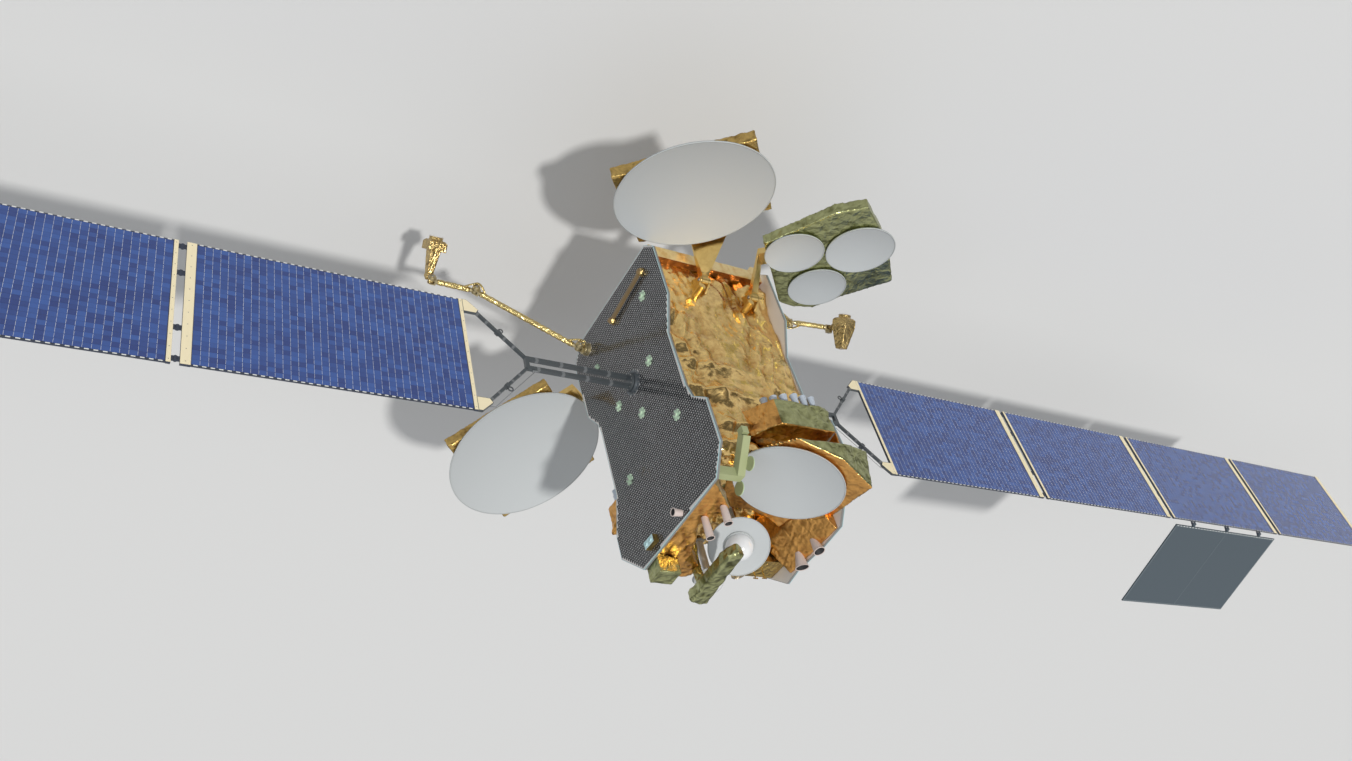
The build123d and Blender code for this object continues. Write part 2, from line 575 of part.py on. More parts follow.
for name, centre, normal, azimuth, dishes, outline, foot, hinge in REFLECTORS:
    plane = square_plane(centre, normal, azimuth)
    with BuildPart() as tray:
        with BuildSketch(plane.offset(-TRAY_DROP)):
            with BuildLine():
                Polyline(*outline, close=True)
            make_face()
        extrude(amount=-TRAY_T)
        for x, y, radius, depth in dishes:
            local = Plane(origin=plane.from_local_coords((x, y, 0)), x_dir=plane.x_dir, z_dir=plane.z_dir)
            add(bowl_space(local, radius, depth), mode=Mode.SUBTRACT)
    save(tray.part, f"tray_{name}")
    with BuildPart() as dish_set:
        for x, y, radius, depth in dishes:
            local = Plane(origin=plane.from_local_coords((x, y, 0)), x_dir=plane.x_dir, z_dir=plane.z_dir)
            add(dish(local, radius, depth))
    save(dish_set.part, f"dish_{name}")

    # Hinged arm: foot against the tray's side, tapered box, lug round a pin along y
    face_x, hinge_y, hinge_z = hinge
    foot_x, foot_y, foot_angle, foot_width, foot_reach = foot
    outwards = 1 if face_x > 0 else -1
    pin = Vector(face_x + outwards * HINGE_REACH, hinge_y, hinge_z)
    foot_dir = plane.x_dir * cos(radians(foot_angle)) + plane.y_dir * sin(radians(foot_angle))
    foot_point = plane.from_local_coords((foot_x, foot_y, -TRAY_DROP - FOOT_DROP - FOOT_T / 2))
    foot_plane = Plane(origin=foot_point, x_dir=foot_dir.cross(plane.z_dir), z_dir=foot_dir)
    bend = foot_point + foot_dir * foot_reach
    arm_dir = Vector(bend.X - pin.X, 0, bend.Z - pin.Z).normalized()
    root_plane = Plane(origin=pin + arm_dir * (HINGE_R + HINGE_ROOT), x_dir=(0, outwards, 0), z_dir=-arm_dir)
    with BuildPart() as arm:
        for section in (foot_plane, foot_plane.offset(foot_reach)):
            with BuildSketch(section):
                Rectangle(foot_width, FOOT_T)
        with BuildSketch(root_plane):
            Rectangle(HINGE_LUG, FOOT_T)
        loft(ruled=True)
        with BuildSketch(Plane.XZ.offset(-(hinge_y - HINGE_LUG / 2))):
            with Locations((pin.X, hinge_z)):
                Circle(HINGE_R)
                with Locations(Location((0, 0, 0), (0, 0, degrees(atan2(arm_dir.Z, arm_dir.X))))):
                    with Locations((HINGE_R, 0)):
                        Rectangle(2 * HINGE_R, FOOT_T - 12)
                Circle(HINGE_PIN_R + PIN_CLEAR, mode=Mode.SUBTRACT)
        extrude(amount=-HINGE_LUG)
    save(arm.part, f"reflector_arm_{name}")

    gap = HINGE_LUG / 2 + RUN_CLEAR
    with BuildPart() as bracket:
        for y0 in (hinge_y - gap - HINGE_EAR, hinge_y + gap):
            with BuildSketch(Plane.XZ.offset(-y0)):
                with BuildLine():
                    Polyline((face_x, hinge_z + BRACKET_HALF), (pin.X, hinge_z + HINGE_R),
                             (pin.X, hinge_z - HINGE_R), (face_x, hinge_z - BRACKET_HALF), close=True)
                make_face()
                with Locations((pin.X, hinge_z)):
                    Circle(HINGE_R)
            extrude(amount=-HINGE_EAR)
        with BuildSketch(Plane.XZ.offset(-(hinge_y - gap))):
            with Locations((pin.X, hinge_z)):
                Circle(HINGE_PIN_R)
        extrude(amount=-2 * gap)
    save(bracket.part, f"hinge_bracket_{name}")

# Feed boxes: one on the east face and one on the west face, each with a slanted side
FEED_OUT = 380
FEED_LOW = 3300
FEED_HIGH = 3750
FEED_SIDE_Y = 200       # where the slanted side leaves the core
FEED_CORNER_Y = -100    # and where it meets the outer face
HORN_MOUTH = 56
HORN_THROAT = 40
HORN_L = 210
HORN_WALL = 6
FEED_HORNS = ((110, -170), (190, -290), (255, -430), (300, -590), (300, -750), (300, -905), (180, -985))


def horn(origin, direction, mouth, throat, length):
    """A hollow conical horn standing on its throat."""
    meridian_x = Vector(0, 1, 0) if abs(direction.Y) < 0.9 else Vector(1, 0, 0)
    plane = Plane(origin=origin, x_dir=meridian_x, z_dir=direction)
    meridian = Plane(origin=plane.origin, x_dir=plane.x_dir, z_dir=-plane.y_dir)
    with BuildPart() as part:
        with BuildSketch(meridian):
            with BuildLine():
                Polyline((0, 0), (throat, 0), (mouth, length), (mouth - HORN_WALL, length),
                         (throat - HORN_WALL, HORN_WALL), (0, HORN_WALL), close=True)
            make_face()
        revolve(axis=Axis(plane.origin, plane.z_dir))
    return part.part


for name, side in (("east", 1), ("west", -1)):
    with BuildPart() as feed_box:
        with BuildSketch(Plane.XY.offset(FEED_LOW)):
            with BuildLine():
                Polyline((side * CORE_X, side * FEED_SIDE_Y),
                         (side * (CORE_X + FEED_OUT), side * FEED_CORNER_Y),
                         (side * (CORE_X + FEED_OUT), -side * CORE_Y),
                         (side * CORE_X, -side * CORE_Y), close=True)
            make_face()
        extrude(amount=FEED_HIGH - FEED_LOW)
    save(feed_box.part, f"feed_box_{name}")
    with BuildPart() as feed_horns:
        for out_x, y in FEED_HORNS:
            foot = Vector(side * (CORE_X + out_x), side * y, FEED_LOW)
            add(horn(foot, Vector(0, 0, -1), HORN_MOUTH, HORN_THROAT, HORN_L))
    save(feed_horns.part, f"feed_horns_{name}")

# Earth dish in its tilted tray, which stands on the deck
EARTH_DISH = (1100, -200, 4515)
EARTH_NORMAL = (-0.152, 0.387, 0.91)
EARTH_R = 790
EARTH_DEPTH = 90
EARTH_DROP = 50         # the tray's rim lies this far under the dish's
EARTH_TRAY = ((-620, 800), (-1080, 330), (-960, 80), (-930, -220), (-1080, -560), (-1080, -1200),
              (560, -1200), (900, -300), (860, 420), (500, 800))
LINER_T = 12            # foil-faced panel on the south radiator's inner face
WALL_SEAT = 4           # gap between the tray and that panel
earth_plane = square_plane(EARTH_DISH, EARTH_NORMAL, 0)
with BuildPart() as earth_dish:
    add(dish(earth_plane, EARTH_R, EARTH_DEPTH))
save(earth_dish.part, "earth_dish")
with BuildPart() as earth_tray:
    with BuildSketch(earth_plane.offset(-EARTH_DROP)):
        with BuildLine():
            Polyline(*EARTH_TRAY, close=True)
        make_face()
    extrude(amount=-CORE_TOP)
    add(box((-CORE_X, -CORE_Y + LINER_T + WALL_SEAT, CORE_TOP), (2 * CORE_X, CORE_Y, 2 * CORE_TOP)),
        mode=Mode.INTERSECT)
    with BuildSketch(Plane.XZ.offset(2 * CORE_Y)):
        with BuildLine():
            Polyline((CORE_X - 60, 0), (CORE_X - 60, CORE_TOP), (2 * CORE_X, CORE_TOP + 420),
                     (2 * CORE_X, 0), close=True)
        make_face()
    extrude(amount=-4 * CORE_Y, mode=Mode.SUBTRACT)
    add(bowl_space(earth_plane, EARTH_R, EARTH_DEPTH), mode=Mode.SUBTRACT)
save(earth_tray.part, "earth_tray")

# Gold wall that rises from the Earth tray to the south radiator's edge, and the liner beside it
LINER = ((1180, 3800), (1510, 3760), (1470, 4220), (1290, 4420), (1130, 4460), (1130, 3790))
SOUTH_WALL = ((-1066, CORE_TOP), (-1066, 4990), (-1030, 4990), (-700, 4560), (-700, CORE_TOP))
with BuildPart() as deck_wall_south:
    with BuildSketch(Plane.YZ.offset(-330)):
        with BuildLine():
            Polyline(*SOUTH_WALL, close=True)
        make_face()
    extrude(amount=1200)
    add(earth_tray.part, mode=Mode.SUBTRACT)
    add(bowl_space(earth_plane, EARTH_R, EARTH_DEPTH), mode=Mode.SUBTRACT)
    with BuildSketch(Plane.XZ.offset(CORE_Y)):
        with BuildLine():
            Polyline(*LINER, close=True)
        make_face()
    extrude(amount=-LINER_T)
save(deck_wall_south.part, "deck_wall_south")

# Parapet along the north radiator: a thick wall whose top slants up to the well's rim
PARAPET = ((1090, 1066), (720, 630), (200, 800), (-370, 600), (-800, 200), (-1000, 330), (-1000, 1066))
PARAPET_EDGE = 4640     # height of the slanted top at the radiator and at the rim
PARAPET_RIM = 4760
with BuildPart() as deck_parapet:
    with BuildSketch(Plane.XY.offset(CORE_TOP)):
        with BuildLine():
            Polyline(*PARAPET, close=True)
        make_face()
    extrude(amount=CORE_TOP)
    with BuildSketch(Plane.YZ.offset(-2 * CORE_X)):
        with BuildLine():
            Polyline((CORE_Y + 100, PARAPET_EDGE - 25), (CORE_Y, PARAPET_EDGE), (CORE_Y - 470, PARAPET_RIM),
                     (-CORE_Y, PARAPET_RIM), (-CORE_Y, 3 * CORE_TOP), (CORE_Y + 100, 3 * CORE_TOP),
                     close=True)
        make_face()
    extrude(amount=4 * CORE_X, mode=Mode.SUBTRACT)
    add(earth_tray.part, mode=Mode.SUBTRACT)
    add(bowl_space(earth_plane, EARTH_R, EARTH_DEPTH), mode=Mode.SUBTRACT)
save(deck_parapet.part, "deck_parapet")

# Spot dish on a post
SPOT_DISH = (-140, -70, 4750)
SPOT_R = 455
SPOT_DEPTH = 45
SPOT_POST_R = 70
spot_plane = square_plane(SPOT_DISH, (0.45, 0.35, 0.82), 0)
with BuildPart() as deck_disc:
    with BuildSketch(Plane.XY.offset(CORE_TOP)):
        with Locations(SPOT_DISH[:2]):
            Circle(SPOT_POST_R)
    extrude(amount=SPOT_DISH[2] - CORE_TOP)
    add(bowl_space(spot_plane.offset(DISH_T / 2), SPOT_R, SPOT_DEPTH), mode=Mode.SUBTRACT)
    add(dish(spot_plane, SPOT_R, SPOT_DEPTH))
save(deck_disc.part, "deck_disc")

# Radomes: one over the spot dish's feed and one on a post of its own at the deck's west end
SPOT_DOME_R = 205
DOME_AT = (-985, -60)
DOME_R = 230
DOME_SKIRT = 40
DOME_POST_R = 60
DOME_POST_L = 620
DOME_SEAT = 4           # the spot dome's skirt stands this far over the dish's rim


def radome(centre, axis, radius, skirt):
    """A closed dome on a short cylinder, standing on its centre."""
    plane = Plane(origin=centre, z_dir=axis)
    meridian = Plane(origin=plane.origin, x_dir=plane.x_dir, z_dir=-plane.y_dir)
    with BuildPart() as part:
        with BuildSketch(meridian):
            with BuildLine():
                Line((0, 0), (radius, 0))
                Line((radius, 0), (radius, skirt))
                CenterArc((0, skirt), radius, 0, 90)
                Line((0, skirt + radius), (0, 0))
            make_face()
        revolve(axis=Axis(plane.origin, plane.z_dir))
    return part.part


with BuildPart() as deck_domes:
    add(radome(spot_plane.from_local_coords((0, 0, -SPOT_DEPTH)), spot_plane.z_dir, SPOT_DOME_R,
               SPOT_DEPTH + DOME_SEAT))
    add(dish(spot_plane, SPOT_R, SPOT_DEPTH), mode=Mode.SUBTRACT)
    with BuildSketch(Plane.XY.offset(CORE_TOP)):
        with Locations(DOME_AT):
            Circle(DOME_POST_R)
    extrude(amount=DOME_POST_L)
    add(radome(Vector(*DOME_AT, CORE_TOP + DOME_POST_L), Vector(0, 0, 1), DOME_R, DOME_SKIRT))
save(deck_domes.part, "deck_domes")

# Towers on the deck: a long foil-wrapped bar across the spot dish and a short one by the radiator
BAR_LIFT = 300          # the bar lies this far over the parapet's rim
BAR_Z = PARAPET_RIM + BAR_LIFT
BAR_T = 170
BAR = ((300, 270), (360, 400), (240, 500), (-930, 440), (-1010, 250), (-940, 130))
BAR_POST = (-760, 290)
BAR_POST_W = 110
TOWER_RISE = 210        # and the short one stands this far over it
TOWER_BOX = ((-900, 700, PARAPET_EDGE - 200), (-590, 1060, PARAPET_RIM + TOWER_RISE))
BAR_CHAMFER = 30
with BuildPart() as deck_towers:
    with BuildSketch(Plane.XY.offset(BAR_Z)):
        with BuildLine():
            Polyline(*BAR, close=True)
        make_face()
    extrude(amount=BAR_T)
    chamfer(deck_towers.faces().sort_by(Axis.Z)[-1].edges(), length=BAR_CHAMFER)
    with BuildSketch(Plane.XY.offset(CORE_TOP)):
        with Locations(BAR_POST):
            Rectangle(BAR_POST_W, BAR_POST_W)
    extrude(amount=BAR_Z - CORE_TOP)
    add(box(*TOWER_BOX))
    add(deck_parapet.part, mode=Mode.SUBTRACT)
save(deck_towers.part, "deck_towers")

# Small horns on the rims of the deck: foot, direction, mouth and throat radius, length
DECK_HORNS = (
    ((700, 715, 4700), (0, 0, 1), 60, 48, 300),
    ((375, 820, 4680), (0, 0, 1), 60, 48, 350),
    ((280, FACE_NS, 4590), (0, 1, 0), 58, 48, 140),
    ((400, -985, 4880), (0.2, 0, 1), 84, 44, 240),
    ((40, -975, 4880), (-0.1, 0, 1), 100, 50, 240),
)
with BuildPart() as deck_horns:
    for foot, direction, mouth, throat, length in DECK_HORNS:
        add(horn(Vector(*foot), Vector(*direction).normalized(), mouth, throat, length))
    add(deck_wall_south.part, mode=Mode.SUBTRACT)
    add(deck_parapet.part, mode=Mode.SUBTRACT)
save(deck_horns.part, "deck_horns")

# Aerials: two on a low box by the south radiator, a patch on a mast, a sensor on the north radiator
AERIAL_BOX = ((-780, -1066, CORE_TOP), (-360, -560, 4800))
AERIALS = ((-650, -640), (-630, -790))
AERIAL_R = 9
AERIAL_L = 110
AERIAL_HEAD = (16, 84, 14)
MAST_R = 22
PATCH_R = 105
PATCH_T = 16
SENSOR = ((-620, FACE_NS, 4500), (-380, FACE_NS + 90, 4620))
PATCH = (-720, -390, 4830)
with BuildPart() as deck_aerials:
    add(box(*AERIAL_BOX))
    for x, y in AERIALS:
        with BuildSketch(Plane.XY.offset(AERIAL_BOX[1][2])):
            with Locations((x, y)):
                Circle(AERIAL_R)
        extrude(amount=AERIAL_L)
        with BuildSketch(Plane.XY.offset(AERIAL_BOX[1][2] + AERIAL_L)):
            with Locations((x, y)):
                Rectangle(*AERIAL_HEAD[:2])
        extrude(amount=AERIAL_HEAD[2])
    with BuildSketch(Plane.XY.offset(CORE_TOP)):
        with Locations(PATCH[:2]):
            Circle(MAST_R)
    extrude(amount=PATCH[2] - CORE_TOP)
    with BuildSketch(Plane.XY.offset(PATCH[2])):
        with Locations(PATCH[:2]):
            Circle(PATCH_R)
    extrude(amount=PATCH_T)
    add(box(*SENSOR))
save(deck_aerials.part, "deck_aerials")

# Angle bracket on the north radiator, with a small box at its tip and two round plates behind it
BRACKET_IN = 660        # inner face of the bracket
BRACKET_W = 120
BRACKET_LEG = ((1110, 4460), (1110, 4600), (1240, 4600), (1600, 4190), (1500, 4100), (1190, 4460))
BRACKET_PLATES = ((1400, 4500), (1050, 4660))
PLATE_R = 100
PLATE_T = 14
BRACKET_BAR = ((1110, BRACKET_IN, 4460), (1230, CORE_Y, 4600))
BRACKET_BOX = ((1495, BRACKET_IN + 10, 4030), (1605, BRACKET_IN + BRACKET_W - 10, 4140))
with BuildPart() as deck_bracket:
    add(box(*BRACKET_BAR))
    with BuildSketch(Plane.XZ.offset(-BRACKET_IN)):
        with BuildLine():
            Polyline(*BRACKET_LEG, close=True)
        make_face()
    extrude(amount=-BRACKET_W)
    add(box(*BRACKET_BOX))
    with BuildSketch(Plane.XZ.offset(-BRACKET_IN)):
        with Locations(*BRACKET_PLATES):
            Circle(PLATE_R)
    extrude(amount=PLATE_T)
save(deck_bracket.part, "deck_bracket")
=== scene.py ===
import json
import math
import random

import bmesh
import bpy
import numpy as np
from mathutils import Matrix, Vector

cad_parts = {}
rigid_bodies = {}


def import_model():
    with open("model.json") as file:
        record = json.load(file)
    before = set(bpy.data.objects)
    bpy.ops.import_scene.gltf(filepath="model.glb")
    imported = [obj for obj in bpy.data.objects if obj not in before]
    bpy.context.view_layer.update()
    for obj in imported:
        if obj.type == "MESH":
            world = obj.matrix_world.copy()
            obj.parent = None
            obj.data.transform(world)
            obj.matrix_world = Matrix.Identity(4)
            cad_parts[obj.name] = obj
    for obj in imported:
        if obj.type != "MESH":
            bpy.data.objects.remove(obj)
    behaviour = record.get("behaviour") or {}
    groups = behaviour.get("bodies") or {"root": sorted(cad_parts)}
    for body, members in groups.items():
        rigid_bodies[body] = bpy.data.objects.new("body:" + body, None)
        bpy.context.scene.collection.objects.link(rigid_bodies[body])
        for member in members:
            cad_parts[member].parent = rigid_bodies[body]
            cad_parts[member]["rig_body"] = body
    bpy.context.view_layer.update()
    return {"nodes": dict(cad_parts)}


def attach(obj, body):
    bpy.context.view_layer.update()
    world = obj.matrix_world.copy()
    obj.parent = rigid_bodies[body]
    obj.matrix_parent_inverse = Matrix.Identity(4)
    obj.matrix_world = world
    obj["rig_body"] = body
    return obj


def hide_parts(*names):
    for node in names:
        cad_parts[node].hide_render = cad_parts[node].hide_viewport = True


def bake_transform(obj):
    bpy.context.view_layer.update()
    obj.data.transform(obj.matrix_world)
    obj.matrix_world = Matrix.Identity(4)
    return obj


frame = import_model()


# Camera, floor and light. The view looks down on the body from the east, north and Earth sides,
# with the Earth deck towards the lower edge, so that one wide floor lies behind the whole object.
def plain(name, color, rough=0.5, metal=0.0, **more):
    """A material of one colour; more are further inputs of its shader."""
    mat = bpy.data.materials.new(name)
    mat.use_nodes = True
    shader = mat.node_tree.nodes["Principled BSDF"]
    shader.inputs["Base Color"].default_value = (*color, 1)
    shader.inputs["Roughness"].default_value = rough
    shader.inputs["Metallic"].default_value = metal
    for key, value in more.items():
        shader.inputs[key.replace("_", " ")].default_value = value
    return mat


def lamp(name, energy, towards, angle, color):
    """A sun lamp that shines along a direction."""
    data = bpy.data.lights.new(name, "SUN")
    data.energy, data.angle, data.color = energy, angle, color
    obj = bpy.data.objects.new(name, data)
    obj.rotation_euler = Vector(towards).to_track_quat("-Z", "Y").to_euler()
    bpy.context.scene.collection.objects.link(obj)


def add_node(tree, kind, inputs=None, **traits):
    """A new node of a tree, with some of its traits and of its inputs set."""
    new = tree.nodes.new(kind)
    for key, value in traits.items():
        setattr(new, key, value)
    for key, value in (inputs or {}).items():
        new.inputs[key].default_value = value
    return new


def join(tree, *rows):
    """Links in a node tree, each given as a node, its output, a second node and its input."""
    for source, output, target, entry in rows:
        tree.links.new(source.outputs[output], target.inputs[entry])


camera = bpy.data.cameras.new("camera")
camera.sensor_width, camera.lens = 36, 29.355
camera.clip_start, camera.clip_end = 0.5, 400
eye = bpy.data.objects.new("camera", camera)
eye.matrix_world = Matrix((
    (0.48313, 0.63589, 0.60185, 10.47),
    (-0.84501, 0.15870, 0.51065, 9.16),
    (0.22921, -0.75528, 0.61401, 12.46),
    (0, 0, 0, 1),
))
bpy.context.scene.collection.objects.link(eye)
bpy.context.scene.camera = eye

FLOOR_Z, FLOOR_R = -2.25, 110
bpy.ops.mesh.primitive_circle_add(vertices=64, radius=FLOOR_R, fill_type="NGON", location=(0, 0, FLOOR_Z))
floor = bpy.context.object
floor.name = "floor"
floor.data.materials.append(plain("floor_paint", (0.62, 0.63, 0.64), 0.9))
floor.visible_glossy = False

lamp("key", 2.2, (-0.62, -0.05, -0.78), 0.06, (1, 0.97, 0.92))
lamp("fill", 0.55, (-0.25, -0.85, -0.35), 0.5, (0.9, 0.95, 1))

SKY_LOW, SKY_BAND, SKY_HIGH_FROM = 0.75, ((0.36, 1.0), (0.46, 0.22), (0.6, 0.16)), 0.82
world = bpy.data.worlds.new("sky")
world.use_nodes = True
bpy.context.scene.world = world
tree = world.node_tree
sky = tree.nodes["Background"]
sky.inputs["Strength"].default_value = 0.6
where = add_node(tree, "ShaderNodeTexCoord")
parts = add_node(tree, "ShaderNodeSeparateXYZ")
rise = add_node(tree, "ShaderNodeMapRange", {"From Min": -1})
ramp = add_node(tree, "ShaderNodeValToRGB")
for position, shade in SKY_BAND:
    ramp.color_ramp.elements.new(position).color = (shade, shade, shade, 1)
ramp.color_ramp.elements[0].color = (SKY_LOW, SKY_LOW, SKY_LOW, 1)
ramp.color_ramp.elements[-1].position = SKY_HIGH_FROM
backdrop = add_node(tree, "ShaderNodeBackground", {"Color": (0.72, 0.73, 0.74, 1)})
seen = add_node(tree, "ShaderNodeLightPath")
either = add_node(tree, "ShaderNodeMixShader")
join(tree, (where, "Generated", parts, "Vector"), (parts, "Z", rise, "Value"), (rise, "Result", ramp, "Fac"),
     (ramp, "Color", sky, "Color"), (seen, "Is Camera Ray", either, 0), (sky, 0, either, 1),
     (backdrop, 0, either, 2), (either, 0, tree.nodes["World Output"], "Surface"))
bpy.context.scene.view_settings.view_transform = "Standard"


# Film blankets of the body: metallised plastic film quilted over the core, the feed boxes, the
# stepped edge beams and the Earth end, sewn and taped at the edges, so that it lies in creases.
def effect(name, inputs, outputs):
    """An empty node group for materials with its sockets, and its two end nodes."""
    group = bpy.data.node_groups.new(name, "ShaderNodeTree")
    for title, kind, value in inputs:
        group.interface.new_socket(title, in_out="INPUT", socket_type=kind).default_value = value
    for title, kind in outputs:
        group.interface.new_socket(title, in_out="OUTPUT", socket_type=kind)
    return group, group.nodes.new("NodeGroupInput"), group.nodes.new("NodeGroupOutput")


def film_effect():
    """Creased film: a colour that varies at random and falls from light to dark in the folds as painted
    shade, and its normal.
    """
    group, start, end = effect(
        "film",
        (("Light", "NodeSocketColor", (0.9, 0.66, 0.3, 1)), ("Dark", "NodeSocketColor", (0.3, 0.16, 0.05, 1)),
         ("Scale", "NodeSocketFloat", 9.0), ("Depth", "NodeSocketFloat", 0.5),
         ("Fold_Shade", "NodeSocketFloat", 0.0)),
        (("Color", "NodeSocketColor"), ("Normal", "NodeSocketVector")),
    )
    where = add_node(group, "ShaderNodeTexCoord")
    warp = add_node(group, "ShaderNodeTexNoise", {"Scale": 3, "Detail": 3})
    moved = add_node(group, "ShaderNodeVectorMath", {1: (0.35, 0.35, 0.35)}, operation="MULTIPLY_ADD")
    cells = add_node(group, "ShaderNodeTexVoronoi", distance="MANHATTAN")
    fine = add_node(group, "ShaderNodeTexNoise", {"Detail": 2.5, "Roughness": 0.5})
    finer = add_node(group, "ShaderNodeMath", {1: 2.4}, operation="MULTIPLY")
    height = add_node(group, "ShaderNodeMath", operation="ADD")
    bump = add_node(group, "ShaderNodeBump", {"Distance": 0.02})
    ramp = add_node(group, "ShaderNodeMapRange", {"From Min": 0.3, "From Max": 0.6, "To Min": 0.55})
    # Painted shade: the fold value takes the colour towards Dark.
    tone_less_fold_shade = add_node(group, "ShaderNodeMath", operation="SUBTRACT", use_clamp=True)
    mix = add_node(group, "ShaderNodeMix", data_type="RGBA")
    join(group, (where, "Object", warp, "Vector"), (warp, "Color", moved, 0), (where, "Object", moved, 2),
         (moved, 0, cells, "Vector"), (moved, 0, fine, "Vector"), (start, "Scale", cells, "Scale"),
         (start, "Scale", finer, 0), (finer, 0, fine, "Scale"), (cells, "Distance", height, 0),
         (fine, "Fac", height, 1), (height, 0, bump, "Height"), (start, "Depth", bump, "Strength"),
         (fine, "Fac", ramp, "Value"), (ramp, "Result", tone_less_fold_shade, 0), (start, "Fold_Shade", tone_less_fold_shade, 1),
         (tone_less_fold_shade, 0, mix, "Factor"), (start, "Dark", mix, "A"), (start, "Light", mix, "B"),
         (mix, "Result", end, "Color"), (bump, "Normal", end, "Normal"))
    return group


FILM = film_effect()


def film(name, light, dark, scale, depth, rough):
    """A material of creased metallised film, darker in the folds of crumpled pieces as painted shade."""
    mat = plain(name, light, rough, 1.0)
    tree = mat.node_tree
    shader = tree.nodes["Principled BSDF"]
    group = add_node(tree, "ShaderNodeGroup", {
        "Light": (*light, 1), "Dark": (*dark, 1), "Scale": scale, "Depth": depth}, node_tree=FILM)
    # Painted shade in the folds, read from an attribute of the crumpled pieces.
    fold_shade = add_node(tree, "ShaderNodeAttribute", attribute_name="fold_shade")
    join(tree, (fold_shade, "Fac", group, "Fold_Shade"), (group, "Color", shader, "Base Color"),
         (group, "Normal", shader, "Normal"))
    return mat


def rides(obj, body, slot, mat=None):
    """Gives a finished piece its material and body; its slot is not used."""
    if mat:
        obj.data.materials.clear()
        obj.data.materials.append(mat)
    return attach(obj, body)


def baked(obj):
    """A piece with its modifiers worked into its mesh and its place into its vertices."""
    bpy.context.view_layer.update()
    mesh = bpy.data.meshes.new_from_object(obj.evaluated_get(bpy.context.evaluated_depsgraph_get()))
    mesh.transform(obj.matrix_world)
    obj.modifiers.clear()
    obj.data = mesh
    obj.matrix_world = Matrix.Identity(4)
    return obj


TURN = 6.28


def creases(co, seed, width, depth):
    """Height of crumpled film at each point: folds along straight lines in many directions."""
    rng = np.random.default_rng(seed)
    height = np.zeros(len(co))
    for share in (1, 0.5, 0.25):
        waves = []
        for _ in range(4):
            line = rng.normal(size=3)
            line /= np.linalg.norm(line)
            bend = np.sin(co @ rng.normal(size=3) / (1.3 * width * share) + rng.uniform(0, TURN))
            t = co @ line / (width * share) + 0.42 * bend + rng.uniform()
            wave = np.abs((t % 1) * 2 - 1)
            waves.append(wave * (1.6 - 0.6 * wave))
        calm = 0.55 + 0.45 * np.sin(co @ rng.normal(size=3) / (0.9 * width) + rng.uniform(0, TURN))
        height += share * calm * (np.maximum(waves[0], waves[1]) - np.maximum(waves[2], waves[3]))
    return depth * height


ALIKE = 0.7      # cosine from which a face counts as looking along a direction
COVERED = 0.5    # the same for the points under a lid
SUNK = 0.5       # share of its depth that a fold keeps under a lid
FOLD_SHADE_RATE = 1.6  # how fast the painted shade in a fold darkens with its depth
KEPT = 0.5       # share of the faces that stays when the flat parts are thinned


def crumpled(node, voxel, width, depth, mat, seed, slot="gold_foil", others=(), lids=()):
    """A copy of a CAD node as creased film over its shape, which stands for it. Its folds are about
    width apart and depth high, on faces as large as voxel. Each of others is a direction and the
    material of the faces that look that way. On the sides that look along lids something rigid lies
    on the film or passes close to it, so it only sinks there."""
    source = frame["nodes"][node]
    obj = bpy.data.objects.new(f"film_{node}", source.data.copy())
    bpy.context.scene.collection.objects.link(obj)
    mesh = bmesh.new()
    mesh.from_mesh(obj.data)
    bmesh.ops.remove_doubles(mesh, verts=mesh.verts, dist=1e-5)
    mesh.to_mesh(obj.data)
    mesh.free()
    remesh = obj.modifiers.new("even", "REMESH")
    remesh.mode = "VOXEL"
    remesh.voxel_size = voxel
    baked(obj)
    data = obj.data
    count = len(data.vertices)
    co, normal = np.empty(count * 3), np.empty(count * 3)
    data.vertices.foreach_get("co", co)
    data.vertices.foreach_get("normal", normal)
    co, normal = co.reshape(-1, 3), normal.reshape(-1, 3)
    faces = np.empty(len(data.polygons) * 3)
    data.polygons.foreach_get("normal", faces)
    skins = np.zeros(len(data.polygons), int)
    for i, (way, _) in enumerate(others):
        skins[faces.reshape(-1, 3) @ np.array(way) > ALIKE] = i + 1
    height = creases(co, seed, width, depth)
    for lid in lids:
        covered = normal @ np.array(lid) > COVERED
        height[covered] = np.minimum(height[covered], 0) * SUNK
    # Painted shade: the deeper a fold, the darker its colour.
    fold_shade = data.attributes.new("fold_shade", "FLOAT", "POINT")
    fold_shade.data.foreach_set("value", np.clip(-FOLD_SHADE_RATE * height / depth, 0, 1).astype(np.float32))
    co = co + normal * height[:, None]
    data.vertices.foreach_set("co", co.ravel())
    data.polygons.foreach_set("use_smooth", [True] * len(data.polygons))
    data.materials.clear()
    for skin in (mat, *(skin for _, skin in others)):
        data.materials.append(skin)
    data.polygons.foreach_set("material_index", skins)
    data.update()
    thin = obj.modifiers.new("flat_parts", "DECIMATE")
    thin.ratio = KEPT
    baked(obj)
    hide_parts(node)
    return rides(obj, source["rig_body"], slot)


GOLD = film("gold_film", (1.0, 0.71, 0.29), (0.5, 0.26, 0.07), 5, 0.28, 0.2)
# Pale gold of the edge beams: their own film colour, made lighter as painted light.
GOLD_PALE_LIT = film("pale_lit_gold_film", (1.0, 0.8, 0.42), (0.85, 0.58, 0.24), 5, 0.2, 0.35)
GOLD_DARK = film("dark_gold_film", (0.6, 0.42, 0.14), (0.2, 0.12, 0.04), 9, 0.6, 0.3)
OLIVE = film("olive_film", (0.5, 0.52, 0.26), (0.16, 0.16, 0.06), 6, 0.6, 0.3)
ORANGE = film("orange_film", (0.85, 0.45, 0.13), (0.4, 0.18, 0.05), 6, 0.4, 0.3)
